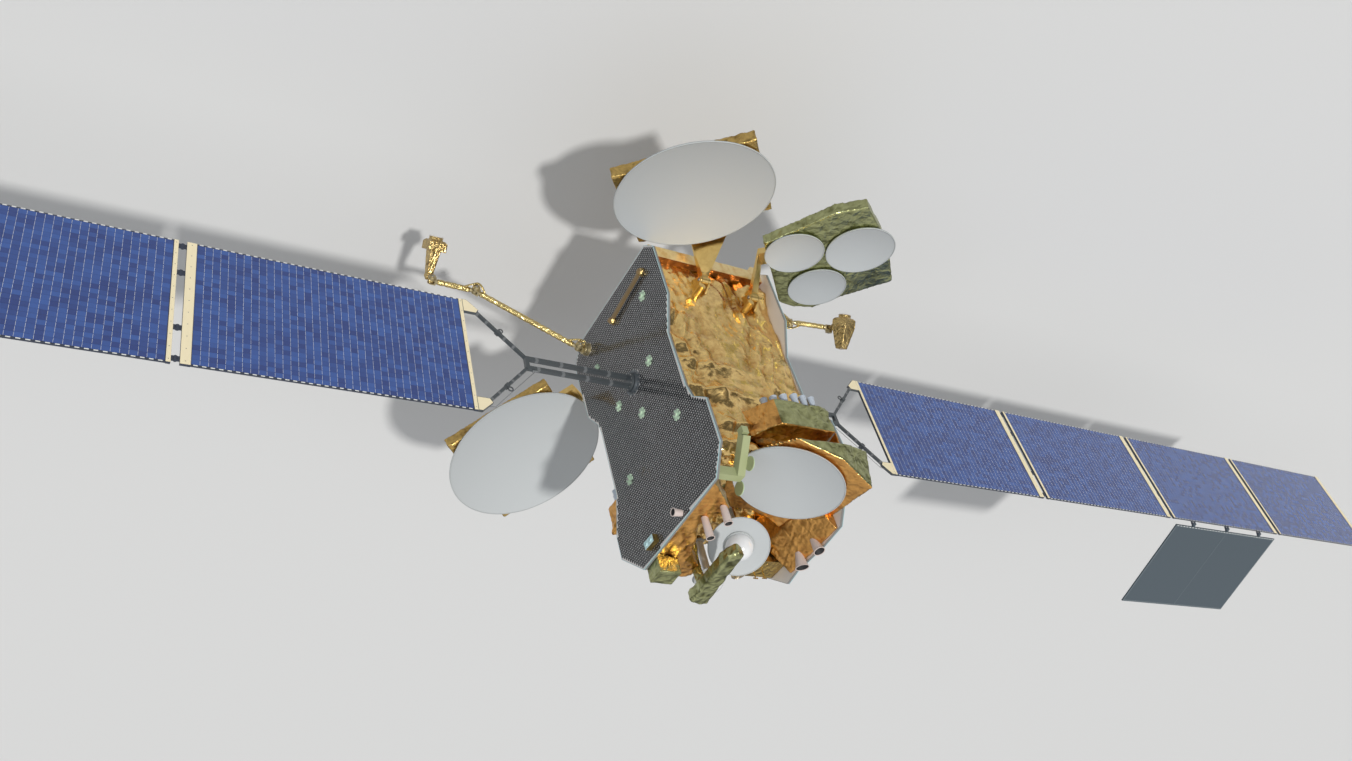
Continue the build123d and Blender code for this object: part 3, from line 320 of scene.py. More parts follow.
# Painted shade: the dark brown of the edge beams' faces that look along +Z.
BEAM_SHADE = film("beam_shade_film", (0.42, 0.18, 0.07), (0.2, 0.08, 0.03), 6, 0.3, 0.35)
EAST_WEST = (("east", 1), ("west", -1))
crumpled("bus_core", 0.025, 0.62, 0.14, GOLD, 3, lids=((0, 1, 0), (0, -1, 0)))
for side, sign in EAST_WEST:
    # Painted light and shade: pale gold on the beam's lit faces, dark brown on those that look along +Z.
    crumpled(f"edge_beam_{side}", 0.012, 0.3, 0.006, GOLD_PALE_LIT, 5, others=(((0, 0, 1), BEAM_SHADE),))
    crumpled(f"feed_box_{side}", 0.014, 0.26, 0.03, ORANGE, 7, others=(((sign, 0, 0), OLIVE),))
crumpled("earth_tray", 0.02, 0.4, 0.03, OLIVE, 9, others=(((0, 0, 1), ORANGE),),
         lids=((-0.152, 0.387, 0.91),))
crumpled("deck_wall_south", 0.014, 0.3, 0.018, ORANGE, 11)
crumpled("deck_parapet", 0.016, 0.22, 0.026, GOLD_DARK, 13, others=(((0, 0.26, 0.96), ORANGE),))
crumpled("deck_towers", 0.012, 0.3, 0.02, OLIVE, 15)


# Mirror tiles of the two radiators: thin silvered glass tiles with cut corners, glued in rows on
# white panels, so that a pale dot of paint shows wherever four corners meet.
def walls(rings, around, first=0, closed=False):
    """Quads between rings of vertices that follow each other, each with that many around."""
    quads = []
    for j in range(rings if closed else rings - 1):
        a, b = first + j * around, first + (j + 1) % rings * around
        quads += [(a + i, a + (i + 1) % around, b + (i + 1) % around, b + i) for i in range(around)]
    return quads


def prism(outline, low, high):
    """A flat plate over an outline, counterclockwise seen from above, between two heights."""
    n = len(outline)
    verts = [(x, y, z) for z in (low, high) for x, y in outline]
    return verts, [tuple(range(n - 1, -1, -1)), tuple(range(n, 2 * n)), *walls(2, n)]


def placed(shape, matrix):
    """A shape moved by a matrix."""
    verts, faces = shape
    return [tuple(matrix @ Vector(v)) for v in verts], faces


def spot(point, normal=(0, 0, 1), along=(1, 0, 0)):
    """The place of a small piece on a face: its own z along the normal, its own x along a line."""
    z = Vector(normal).normalized()
    x = Vector(along)
    x = (x - z * x.dot(z)).normalized()
    return Matrix.Translation(point) @ Matrix((x, z.cross(x), z)).transposed().to_4x4()


def shaped(name, shapes, smooth=False):
    """A mesh object made of shapes, in the shared frame."""
    verts, faces = [], []
    for shape_verts, shape_faces in shapes:
        faces += [tuple(i + len(verts) for i in face) for face in shape_faces]
        verts += shape_verts
    data = bpy.data.meshes.new(name)
    data.from_pydata(verts, [], faces)
    if faces:
        mesh = bmesh.new()
        mesh.from_mesh(data)
        bmesh.ops.recalc_face_normals(mesh, faces=mesh.faces)
        mesh.to_mesh(data)
        mesh.free()
    data.polygons.foreach_set("use_smooth", [smooth] * len(faces))
    obj = bpy.data.objects.new(name, data)
    bpy.context.scene.collection.objects.link(obj)
    return obj


def scatter_tree():
    """One piece on every vertex of a mesh, turned as the vertex says and tilted a little."""
    tree = bpy.data.node_groups.new("scatter", "GeometryNodeTree")
    tree.interface.new_socket("Geometry", in_out="OUTPUT", socket_type="NodeSocketGeometry")
    for title, kind in (("Geometry", "Geometry"), ("Piece", "Object"), ("Tilt", "Float"),
                        ("Seed", "Int"), ("Material", "Material")):
        tree.interface.new_socket(title, in_out="INPUT", socket_type=f"NodeSocket{kind}")
    start, end = add_node(tree, "NodeGroupInput"), add_node(tree, "NodeGroupOutput")
    source = add_node(tree, "GeometryNodeObjectInfo")
    turn = add_node(tree, "GeometryNodeInputNamedAttribute", {"Name": "turn"}, data_type="FLOAT_VECTOR")
    euler = add_node(tree, "FunctionNodeEulerToRotation")
    low = add_node(tree, "ShaderNodeMath", {1: -1}, operation="MULTIPLY")
    wobble = add_node(tree, "FunctionNodeRandomValue", data_type="FLOAT_VECTOR")
    tilt = add_node(tree, "FunctionNodeEulerToRotation")
    both = add_node(tree, "FunctionNodeRotateRotation", rotation_space="LOCAL")
    placing = add_node(tree, "GeometryNodeInstanceOnPoints")
    chance = add_node(tree, "FunctionNodeRandomValue", data_type="FLOAT")
    store = add_node(tree, "GeometryNodeStoreNamedAttribute", {"Name": "tone"}, domain="INSTANCE")
    real = add_node(tree, "GeometryNodeRealizeInstances")
    paint = add_node(tree, "GeometryNodeSetMaterial")
    least, most = [s for s in wobble.inputs if s.enabled][:2]
    tree.links.new(low.outputs[0], least)
    tree.links.new(start.outputs["Tilt"], most)
    tree.links.new([s for s in chance.outputs if s.enabled][0], store.inputs["Value"])
    join(tree, (start, "Piece", source, "Object"), (turn, 0, euler, 0), (start, "Tilt", low, 0),
         (start, "Seed", wobble, "Seed"), (wobble, 0, tilt, 0), (euler, 0, both, "Rotation"),
         (tilt, 0, both, "Rotate By"), (start, "Geometry", placing, "Points"),
         (source, "Geometry", placing, "Instance"), (both, 0, placing, "Rotation"),
         (start, "Seed", chance, "Seed"), (placing, 0, store, "Geometry"), (store, 0, real, 0),
         (real, 0, paint, "Geometry"), (start, "Material", paint, "Material"), (paint, 0, end, 0))
    return tree


SCATTER = scatter_tree()


def scattered(name, shape, spots, mat, body, slot, tilt=0.0, seed=1):
    """One piece made of many like shapes, one at each spot."""
    source = shaped("source", [shape])
    obj = shaped(name, [([tuple(s.translation) for s in spots], [])])
    turns = obj.data.attributes.new("turn", "FLOAT_VECTOR", "POINT")
    turns.data.foreach_set("vector", [a for s in spots for a in s.to_euler()])
    change = obj.modifiers.new("scatter", "NODES")
    change.node_group = SCATTER
    sockets = {s.name: s.identifier for s in SCATTER.interface.items_tree if s.in_out == "INPUT"}
    change[sockets["Piece"]] = source
    change[sockets["Tilt"]] = float(tilt)
    change[sockets["Seed"]] = seed
    change[sockets["Material"]] = mat
    baked(obj)
    bpy.data.objects.remove(source)
    return rides(obj, body, slot)


def toned(name, dark, light, rough, metal=0.0, **more):
    """A material for scattered pieces whose colour differs a little from one to the next."""
    mat = plain(name, dark, rough, metal, **more)
    tree = mat.node_tree
    tone = add_node(tree, "ShaderNodeAttribute", attribute_name="tone")
    group = add_node(tree, "ShaderNodeGroup", {"Dark": (*dark, 1), "Light": (*light, 1)}, node_tree=TONE)
    join(tree, (tone, "Fac", group, "Tone"), (group, "Color", tree.nodes["Principled BSDF"], "Base Color"))
    return mat


TONE, start, end = effect(
    "tone",
    (("Tone", "NodeSocketFloat", 0.5), ("Dark", "NodeSocketColor", (0, 0, 0, 1)),
     ("Light", "NodeSocketColor", (1, 1, 1, 1))),
    (("Color", "NodeSocketColor"),),
)
mix = add_node(TONE, "ShaderNodeMix", data_type="RGBA")
join(TONE, (start, "Tone", mix, "Factor"), (start, "Dark", mix, "A"), (start, "Light", mix, "B"),
     (mix, "Result", end, "Color"))


def painted(node, mat):
    """Gives a CAD node its material."""
    data = frame["nodes"][node].data
    data.materials.clear()
    data.materials.append(mat)


def inside(x, y, outline):
    """Whether a point lies in a polygon."""
    odd = False
    for (x0, y0), (x1, y1) in zip(outline, outline[1:] + outline[:1]):
        if (y0 > y) != (y1 > y) and x < x0 + (y - y0) / (y1 - y0) * (x1 - x0):
            odd = not odd
    return odd


def inset(outline, by):
    """A counterclockwise polygon with its sides moved inwards."""
    out = []
    for p, q, r in zip(outline[-1:] + outline[:-1], outline, outline[1:] + outline[:1]):
        p, q, r = Vector(p), Vector(q), Vector(r)
        a, b = (q - p).normalized(), (r - q).normalized()
        na, nb = Vector((-a.y, a.x)), Vector((-b.y, b.x))
        out.append(tuple(q + (na + nb) * by / (1 + na.dot(nb))))
    return out


NORTH_SOUTH = (("north", 1), ("south", -1))
TILE, CUT, TILE_T, PITCH = 0.0222, 0.0105, 0.0025, 0.045
SHORT = TILE - CUT
OCTAGON = [(SHORT, -TILE), (TILE, -SHORT), (TILE, SHORT), (SHORT, TILE),
           (-SHORT, TILE), (-TILE, SHORT), (-TILE, -SHORT), (-SHORT, -TILE)]
SIDES = [(1.22, 3.27), (1.15, 2.99), (1.12, 1.96), (1.38, 1.4), (1.38, 0.36), (1.19, 0.16), (-1.13, 0.16),
         (-1.43, 0.44), (-1.43, 1), (-1.39, 1.59), (-1.17, 1.91), (-1.13, 2.1), (-1.13, 3.3), (-1.22, 3.52),
         (-1.38, 3.9), (-1.38, 4.29)]
ENDS = {"north": [(-0.9, 4.76), (1.19, 4.65), (1.49, 4.25), (1.48, 3.5)],
        "south": [(-0.96, 4.67), (-0.5, 5.07), (-0.21, 5.02), (0.48, 5.03), (0.92, 4.99), (1.53, 4.26),
                  (1.48, 3.5)]}
RADIATOR_FACE, RADIATOR_FOOT = 1.11, 0.16
HALF_COLUMNS, TILE_ROWS = 34, 116
TILE_MARGIN, FITTING_GAP = 0.028, 0.02
WING_Z, ARM_X, ARM_Z = 2, 0.95, 0.47
DRIVE_R, ARM_BASE_R = 0.18, 0.095
TILES = toned("mirror_tile", (0.018, 0.02, 0.023), (0.06, 0.066, 0.07), 0.15, 0.2, Coat_Weight=0.3)
PANEL_WHITE = plain("radiator_paint", (0.7, 0.67, 0.65), 0.45)
EDGE_TAPE = plain("edge_tape", (0.2, 0.21, 0.21), 0.4)
EDGE_BEAD = plain("edge_bead", (0.4, 0.62, 0.66), 0.3, 0.2)
for side, sign in NORTH_SOUTH:
    painted(f"radiator_{side}", PANEL_WHITE)
    outline = (SIDES + ENDS[side])[::-1]
    inner = inset(outline, TILE_MARGIN)
    face_y = sign * RADIATOR_FACE
    under = ((0, WING_Z, DRIVE_R), (-sign * ARM_X, ARM_Z, ARM_BASE_R))
    spots = []
    for i in range(-HALF_COLUMNS, HALF_COLUMNS + 1):
        for k in range(TILE_ROWS):
            x, z = i * PITCH, RADIATOR_FOOT + k * PITCH
            if inside(x, z, inner) and all(math.hypot(x - a, z - b) > r + FITTING_GAP for a, b, r in under):
                spots.append(spot((x, face_y, z), (0, sign, 0), (1, 0, 0)))
    scattered(f"tiles_{side}", prism(OCTAGON, -0.001, TILE_T), spots, TILES, "root", "mirror_tiles", 0.006, 5)
    for title, skin, out, low, high, width in (("edge_tape", EDGE_TAPE, 0.0015, -0.0415, 0.0012, 0.004),
                                               ("edge_bead", EDGE_BEAD, 0.003, -0.006, 0.0028, 0.003)):
        a, b = inset(outline, -out), inset(outline, width)
        loops = ((a, low), (a, high), (b, high), (b, low))
        verts = [(x, face_y + sign * h, z) for edge, h in loops for x, z in edge]
        edging = (verts, walls(len(loops), len(a), closed=True))
        rides(shaped(f"{title}_{side}", [edging]), "root", "mirror_tiles", skin)


# Small screws of the fittings: dome-headed, in rings and rows on the flanges, brackets and plates.
def circle(radius, z, steps):
    """Points round the z axis."""
    angles = [2 * math.pi * i / steps for i in range(steps)]
    return [(radius * math.cos(a), radius * math.sin(a), z) for a in angles]


def turned(profile, steps=10):
    """A solid turned about z from (radius, height) points that start and end on the axis."""
    rings = profile[1:-1]
    middle = [p for r, z in rings for p in circle(r, z, steps)]
    verts = [(0, 0, profile[0][1]), *middle, (0, 0, profile[-1][1])]
    last = 1 + (len(rings) - 1) * steps
    return verts, [*((0, 1 + (i + 1) % steps, 1 + i) for i in range(steps)),
                   *walls(len(rings), steps, 1),
                   *((last + i, last + (i + 1) % steps, len(verts) - 1) for i in range(steps))]


def ring_of(count, radius, centre, normal, along=(1, 0, 0), first=0.5):
    """Places on a circle, each turned outwards."""
    base = spot(centre, normal, along)
    turns = [2 * math.pi * (i + first) / count for i in range(count)]
    return [base @ Matrix.Rotation(a, 4, "Z") @ Matrix.Translation((radius, 0, 0)) for a in turns]


def screw(r):
    """A screw head of that radius with a washer under it."""
    return turned([(0, -0.2 * r), (1.5 * r, -0.2 * r), (1.5 * r, 0.2 * r), (r, 0.25 * r), (0.95 * r, 0.8 * r),
                   (0.5 * r, 1.05 * r), (0, 0.7 * r)], 8)


STEEL = plain("screw_steel", (0.36, 0.36, 0.35), 0.35, 0.8)
MACHINED = plain("machined", (0.66, 0.67, 0.69), 0.34, 0.85)
DRIVE_METAL = plain("drive_metal", (0.14, 0.16, 0.18), 0.35, 0.6)
painted("launch_ring", MACHINED)
scattered("ring_bolts", screw(0.008), ring_of(72, 0.622, (0, 0, 0.016), (0, 0, 1)), STEEL,
          "root", "ring_metal")
for side, sign in NORTH_SOUTH:
    painted(f"drive_{side}", DRIVE_METAL)
    out = (0, sign, 0)
    scattered(f"drive_screws_{side}", screw(0.007), ring_of(16, 0.184, (0, sign * 1.126, WING_Z), out),
              STEEL, "root", "ring_metal")
    scattered(f"arm_base_screws_{side}", screw(0.006),
              ring_of(10, 0.102, (-sign * ARM_X, sign * 1.165, ARM_Z), out), STEEL, "root", "foil_tube")


# Hold-downs of the stowed wing on each radiator: six-armed castings in pale green paint, one screw
# near the end of each arm and a bushing in the boss.
CASTING = plain("casting_paint", (0.5, 0.66, 0.5), 0.5)
HOLD_DOWNS = ((0.8, 0.9), (-0.83, 1.01), (0.52, 2), (-0.5, 2.06), (0.02, 2.61), (0.79, 3.26), (-0.69, 3.33))
for side, sign in NORTH_SOUTH:
    painted(f"hold_downs_{side}", CASTING)
    out = (0, sign, 0)
    spots, bushings = [], []
    bushing = turned([(0, -0.004), (0.022, -0.004), (0.022, 0.006), (0.012, 0.008), (0.011, -0.001),
                      (0, -0.001)], 16)
    for x, z in HOLD_DOWNS:
        spots += ring_of(6, 0.068, (x, sign * 1.128, z), out, (1, 0, 0), 0)
        bushings.append(placed(bushing, spot((x, sign * 1.155, z), out)))
    scattered(f"hold_down_screws_{side}", screw(0.006), spots, STEEL, "root", "pale_fitting")
    rides(shaped(f"hold_down_bushings_{side}", bushings), "root", "pale_fitting", STEEL)


# Solar wings: rows of blue cells under cover glass on the sun side of each panel, thin silver
# connectors in the gaps between rows, pale film over the edge members, and clips along the rims.
def plate(half_x, half_y, low, high):
    """A rectangular plate between two heights."""
    return prism([(-half_x, -half_y), (half_x, -half_y), (half_x, half_y), (-half_x, half_y)], low, high)


CELL_BLUE = toned("cell", (0.016, 0.042, 0.2), (0.034, 0.1, 0.36), 0.16, 0.1,
                  Coat_Weight=0.7, Coat_Roughness=0.05)
SUBSTRATE = plain("panel_back", (0.035, 0.045, 0.07), 0.5)
CONNECTOR = plain("connector", (0.85, 0.86, 0.84), 0.3, 0.2)
STRIP_FILM = plain("strip_film", (0.9, 0.8, 0.55), 0.4, 0.1)
COLUMNS, ROWS = 37, 26
CELLS_LOW, CELLS_TALL = 0.97, 2.06
PANELS, PANEL_ROOT, PANEL_PITCH, PANEL_L = 4, 3.77, 3.84, 3.74
BOARD_X, EDGE_X = 0.0125, 0.0205
STRIP_IN, STRIP_OUT, CELLS_IN, CELLS_OUT = 0.055, 0.12, 0.062, 0.126
CELL = plate(0.0472, 0.0382, -0.0005, 0.0015)
TAB = plate(0.0013, 0.033, -0.0005, 0.002)
CLIP = plate(0.024, 0.006, -0.002, 0.004)


def on_board(y, z):
    """A place on the sun side of a panel's board."""
    return spot((BOARD_X, y, z), (1, 0, 0), (0, 1, 0))


for side, sign in NORTH_SOUTH:
    cells, tabs, clips, strips, screws = [], [], [], [], []
    for panel in range(PANELS):
        painted(f"panel_{side}_{panel + 1}", SUBSTRATE)
        start = PANEL_ROOT + PANEL_PITCH * panel
        stop = start + PANEL_L
        first, last = start + CELLS_IN, stop - CELLS_OUT
        step_y, step_z = (last - first) / COLUMNS, CELLS_TALL / ROWS
        for c in range(COLUMNS):
            y = sign * (first + (c + 0.5) * step_y)
            for r in range(ROWS):
                z = CELLS_LOW + (r + 0.5) * step_z
                cells.append(on_board(y, z))
                if c:
                    tabs.append(on_board(sign * (first + c * step_y), z))
            clips += [on_board(y, z) for z in (3.041, 0.959)]
        for low, high in ((start, start + STRIP_IN), (stop - STRIP_OUT, stop)):
            y, half = sign * (low + high) / 2, (high - low) / 2 - 0.001
            strips += [placed(plate(half, 1.048, -0.002, 0.001),
                              spot((face * EDGE_X, y, WING_Z), (face, 0, 0), (0, 1, 0))) for face in (1, -1)]
            screws += [spot((EDGE_X + 0.001, y, 1.0 + 0.2 * i), (1, 0, 0)) for i in range(11)]
    wing = (f"wing_{side}", "solar_cells")
    scattered(f"cells_{side}", CELL, cells, CELL_BLUE, *wing, 0.003, 3)
    scattered(f"connectors_{side}", TAB, tabs, CONNECTOR, *wing)
    scattered(f"rim_clips_{side}", CLIP, clips, CONNECTOR, *wing)
    rides(shaped(f"edge_films_{side}", strips), *wing, STRIP_FILM)
    scattered(f"edge_screws_{side}", screw(0.005), screws, STEEL, *wing)


# Yokes: square carbon tubes with wraps of tape, a thin lead from one rail's end past an arm's ring,
# and pale film over the triangular brackets at the first panel's corners.
def tube(points, radius, steps=8, lump=0.0):
    """A closed round tube along points, with capped ends."""
    points = [Vector(p) for p in points]
    runs = [(b - a).normalized() for a, b in zip(points, points[1:])]
    ways = [runs[0]] + [(a + b).normalized() for a, b in zip(runs, runs[1:])] + [runs[-1]]
    across = ways[0].orthogonal().normalized()
    verts = []
    for k, (p, way) in enumerate(zip(points, ways)):
        across = (across - way * across.dot(way)).normalized()
        other = way.cross(across)
        for i in range(steps):
            a = 2 * math.pi * i / steps
            r = radius * (1 + lump * math.sin(5.1 * k + 2.3 * i) * math.sin(1.7 * k - 1.1 * i))
            verts.append(tuple(p + (across * math.cos(a) + other * math.sin(a)) * r))
    faces = [tuple(range(steps - 1, -1, -1)), *walls(len(points), steps)]
    return verts, faces + [tuple(range(len(verts) - steps, len(verts)))]


def curve(points, count):
    """A smooth line of that many points through a few points."""
    points = [Vector(p) for p in points]
    padded = [2 * points[0] - points[1], *points, 2 * points[-1] - points[-2]]
    line = []
    for i in range(count):
        t = i * (len(points) - 1) / (count - 1)
        k = min(int(t), len(points) - 2)
        t -= k
        a, b, c, d = padded[k:k + 4]
        square, cube = 2 * a - 5 * b + 4 * c - d, 3 * b - a - 3 * c + d
        line.append(0.5 * (2 * b + (c - a) * t + square * t ** 2 + cube * t ** 3))
    return line


def band(width, length, wall):
    """A square sleeve of thin tape round a square tube, along z."""
    w, o = width / 2, width / 2 + wall
    loops = ((o, 0), (o, length), (w, length), (w, 0))
    verts = [(x * r, y * r, z) for r, z in loops for x, y in ((-1, -1), (1, -1), (1, 1), (-1, 1))]
    return verts, walls(4, 4, closed=True)


CARBON = plain("carbon", (0.055, 0.065, 0.072), 0.38, 0.0, Coat_Weight=0.25)
TAPE = plain("carbon_tape", (0.16, 0.17, 0.18), 0.5)
RAIL_OFF, ARM_OFF, FORK_Y, ARM_END_Y = 0.09, 0.93, 2.89, 3.65
CORNER_Z, BRACKET_X = 1.05, 0.0225
# Root bracket: distances from the wing's axis and from its corner
BRACKET = ((3.764, 0.006), (3.704, 0.006), (3.54, 0.168), (3.578, 0.232), (3.764, 0.232))
LEAD = ((2.765, 2.126), (3.186, 2.586), (3.5, 2.933), (3.62, 2.95))
SPLICE = ((2.72, 2.127), (2.74, 2.127), (2.8, 2.131), (2.82, 2.133))
for side, sign in NORTH_SOUTH:
    painted(f"yoke_{side}", CARBON)
    wing = (f"wing_{side}", "dark_carbon")
    wraps = [placed(band(0.06, 0.05, 0.002), spot((0, sign * y, z), (0, 1, 0), (1, 0, 0)))
             for z in (WING_Z - RAIL_OFF, WING_Z + RAIL_OFF) for y in (1.5, 1.9, 2.3, 2.7)]
    for end in (1, -1):
        a = Vector((0, sign * FORK_Y, WING_Z + end * RAIL_OFF))
        run = Vector((0, sign * ARM_END_Y, WING_Z + end * ARM_OFF)) - a
        wraps += [placed(band(0.045, 0.04, 0.002), spot(a + run * t, run, (1, 0, 0)))
                  for t in (0.2, 0.36, 0.68, 0.84)]
    rides(shaped(f"yoke_wraps_{side}", wraps), *wing, TAPE)
    lead = tube([(0, sign * y, z) for y, z in LEAD], 0.0045, 6)
    splice = tube([(0, sign * y, z) for y, z in SPLICE], 0.016, 8, 0.3)
    rides(shaped(f"yoke_lead_{side}", [lead, splice], True), *wing, TAPE)
    skins = []
    for end in (1, -1):
        corner = WING_Z + end * CORNER_Z
        for face in (1, -1):
            base = spot((face * BRACKET_X, 0, 0), (face, 0, 0), (0, 1, 0))
            flat = [tuple((base.inverted() @ Vector((face * BRACKET_X, sign * y, corner - end * drop)))[:2])
                    for y, drop in BRACKET]
            area = sum(p[0] * q[1] - q[0] * p[1] for p, q in zip(flat, flat[1:] + flat[:1]))
            skins.append(placed(prism(flat if area > 0 else flat[::-1], -0.001, 0.0025), base))
    rides(shaped(f"bracket_films_{side}", skins), *wing, STRIP_FILM)
    scattered(f"hub_screws_{side}", screw(0.007),
              ring_of(12, 0.132, (0, sign * 1.216, WING_Z), (0, sign, 0)), STEEL, *wing)


# Flaps: slate-grey panels behind each third solar panel, with a bare white rim along the hinge,
# narrow edge strips and one seam where two skins meet.
SLATE = plain("slate", (0.055, 0.078, 0.098), 0.48, 0.0, Coat_Weight=0.15)
SEAM = plain("flap_strip", (0.11, 0.14, 0.16), 0.4)
FLAP_TILT = math.radians(72.3)
FLAP_HALF_W, FLAP_STRIP, FLAP_NEAR, FLAP_FAR = 1.755, 0.025, 0.055, 2.093
FLAP_BOARD, FLAP_FACE = 0.035, 0.0125      # from the hinge to the board's middle, and to its faces
half, near, far = FLAP_HALF_W - FLAP_STRIP, FLAP_NEAR, FLAP_FAR
FLAP_STRIPS = ((near, -FLAP_HALF_W, far, -half), (near, half, far, FLAP_HALF_W),
               (far - FLAP_STRIP, -half, far, half), (near, -half, near + FLAP_STRIP, half),
               (near + FLAP_STRIP, -0.006, far - FLAP_STRIP, 0.006))
for side, sign in NORTH_SOUTH:
    painted(f"flap_{side}", SLATE)
    hinge = Vector((-0.035, sign * 13.32, 3.095))
    down = Vector((-math.sin(FLAP_TILT), 0, math.cos(FLAP_TILT)))
    front = Vector((down.z, 0, -down.x))
    middle = hinge + front * FLAP_BOARD
    strips, clips = [], []
    for face in (front, -front):
        for u0, v0, u1, v1 in FLAP_STRIPS:
            centre = middle + down * (u0 + u1) / 2 + Vector((0, (v0 + v1) / 2, 0)) + face * FLAP_FACE
            strips.append(placed(plate((u1 - u0) / 2, (v1 - v0) / 2, -0.001, 0.0015),
                                 spot(centre, face, down)))
    for i in range(-17, 18):
        centre = middle + down * (near + 0.008) + Vector((0, i * 0.1, 0)) + front * (FLAP_FACE + 0.001)
        clips.append(spot(centre, front, (0, 1, 0)))
    rides(shaped(f"flap_strips_{side}", strips), f"flap_{side}", "slate_panel", SEAM)
    scattered(f"flap_clips_{side}", CLIP, clips, CONNECTOR, f"flap_{side}", "slate_panel")


# Thruster arms: tubes wrapped in gold film under rings of tape, a film-wrapped loop of wiring at each
# shoulder and elbow, film over the heads, and the ring-shaped mouth of each thruster left open, with a
# black disc deep in it as painted shade.
TUBE_FILM = film("tube_film", (0.85, 0.68, 0.3), (0.35, 0.24, 0.08), 22, 0.5, 0.26)
HEAD_FILM = film("head_film", (0.8, 0.6, 0.26), (0.3, 0.18, 0.06), 18, 0.6, 0.24)
ARM_METAL = plain("arm_metal", (0.5, 0.42, 0.24), 0.34, 0.8)
CERAMIC = plain("ceramic", (0.55, 0.53, 0.5), 0.6)
CHANNEL_SHADE = plain("channel_shade", (0.02, 0.02, 0.022), 0.7)
JOINTS = {
    "north": ((-0.95, 1.296, 0.47), (-1.05232, 2.95709, -0.48745), (-1.0551, 3.70663, -0.51348),
              (0.994338, 0, -0.106264)),
    "south": ((0.95, -1.296, 0.47), (-0.01385, -2.76896, -0.29668), (0.20603, -3.46434, -0.12178),
              (-0.622515, 0, 0.782608)),
}


def wrapped(start, stop, radius, seed, around=14):
    """A creased sleeve of film round a tube, with a pinched ring of tape every so often."""
    start, stop = Vector(start), Vector(stop)
    count = int((stop - start).length / 0.018)
    way = (stop - start).normalized()
    side = way.orthogonal().normalized()
    verts = []
    rng = random.Random(seed)
    phase = [rng.uniform(0, TURN) for _ in range(4)]
    for k in range(count + 1):
        p = start.lerp(stop, k / count)
        pinch = 0.0015 if k % 11 in (0, 1) else 0.005
        if k in (0, count):
            pinch = 0
        for i in range(around):
            a = 2 * math.pi * i / around
            wave = abs(math.sin(0.55 * k + phase[0] + 2 * math.sin(a + phase[1])))
            wave += 0.7 * abs(math.sin(3 * a + 0.3 * k + phase[2]))
            r = radius + pinch * wave + 0.0015 * rng.random()
            verts.append(tuple(p + (side * math.cos(a) + way.cross(side) * math.sin(a)) * r))
    return verts, [tuple(range(around - 1, -1, -1)), *walls(count + 1, around),
                   tuple(range(len(verts) - around, len(verts)))]


def ring(profile, steps=64):
    """A closed ring turned about z from a loop of (radius, height) points, counterclockwise."""
    verts = [p for r, z in profile for p in circle(r, z, steps)]
    return verts, walls(len(profile), steps, closed=True)


FORK_NEAR, FORK_FAR = 0.046, 0.098      # from a joint's middle to the two ends of its pin
SLEEVE_R, SLEEVE_START = 0.0415, 0.1
LOOP_OUT, LOOP_BULGE, LOOP_SIDE, LOOP_END, LOOP_TUCK = 0.112, 0.07, 0.07, 0.19, 0.4
STRAND_R, STRAND_GAP, BLEND_HALF = 0.009, 0.016, 0.06
HEADS = {"north": (263.9, 8), "south": (218.5, 167)}      # compass angle and tilt of each head, in degrees
NECK, STEM, BORE_DEPTH, SOUTH_REACH = 0.14, 0.4, 0.17, 0.33
AIM_OUT, AIM_ACROSS = 0.565, 0.825      # the north thruster's direction, outwards and along the pins
PIN_CAP = turned([(0, -0.002), (0.024, -0.002), (0.024, 0.004), (0.018, 0.008), (0, 0.008)], 12)
CORE = turned([(0, 0.001), (0.091, 0.001), (0.091, 0.01), (0.072, 0.01), (0.07, 0.004), (0.05, 0.004),
               (0.048, 0.012), (0, 0.012)], 28)
NOSE = turned([(0, 0.002), (0.034, 0.002), (0.034, 0.044), (0.024, 0.05), (0.02, 0.036), (0, 0.036)], 24)
MOUTH_RING = ring([(0.088, 0.05), (0.113, 0.05), (0.116, 0.058), (0.111, 0.062), (0.088, 0.06)], 28)
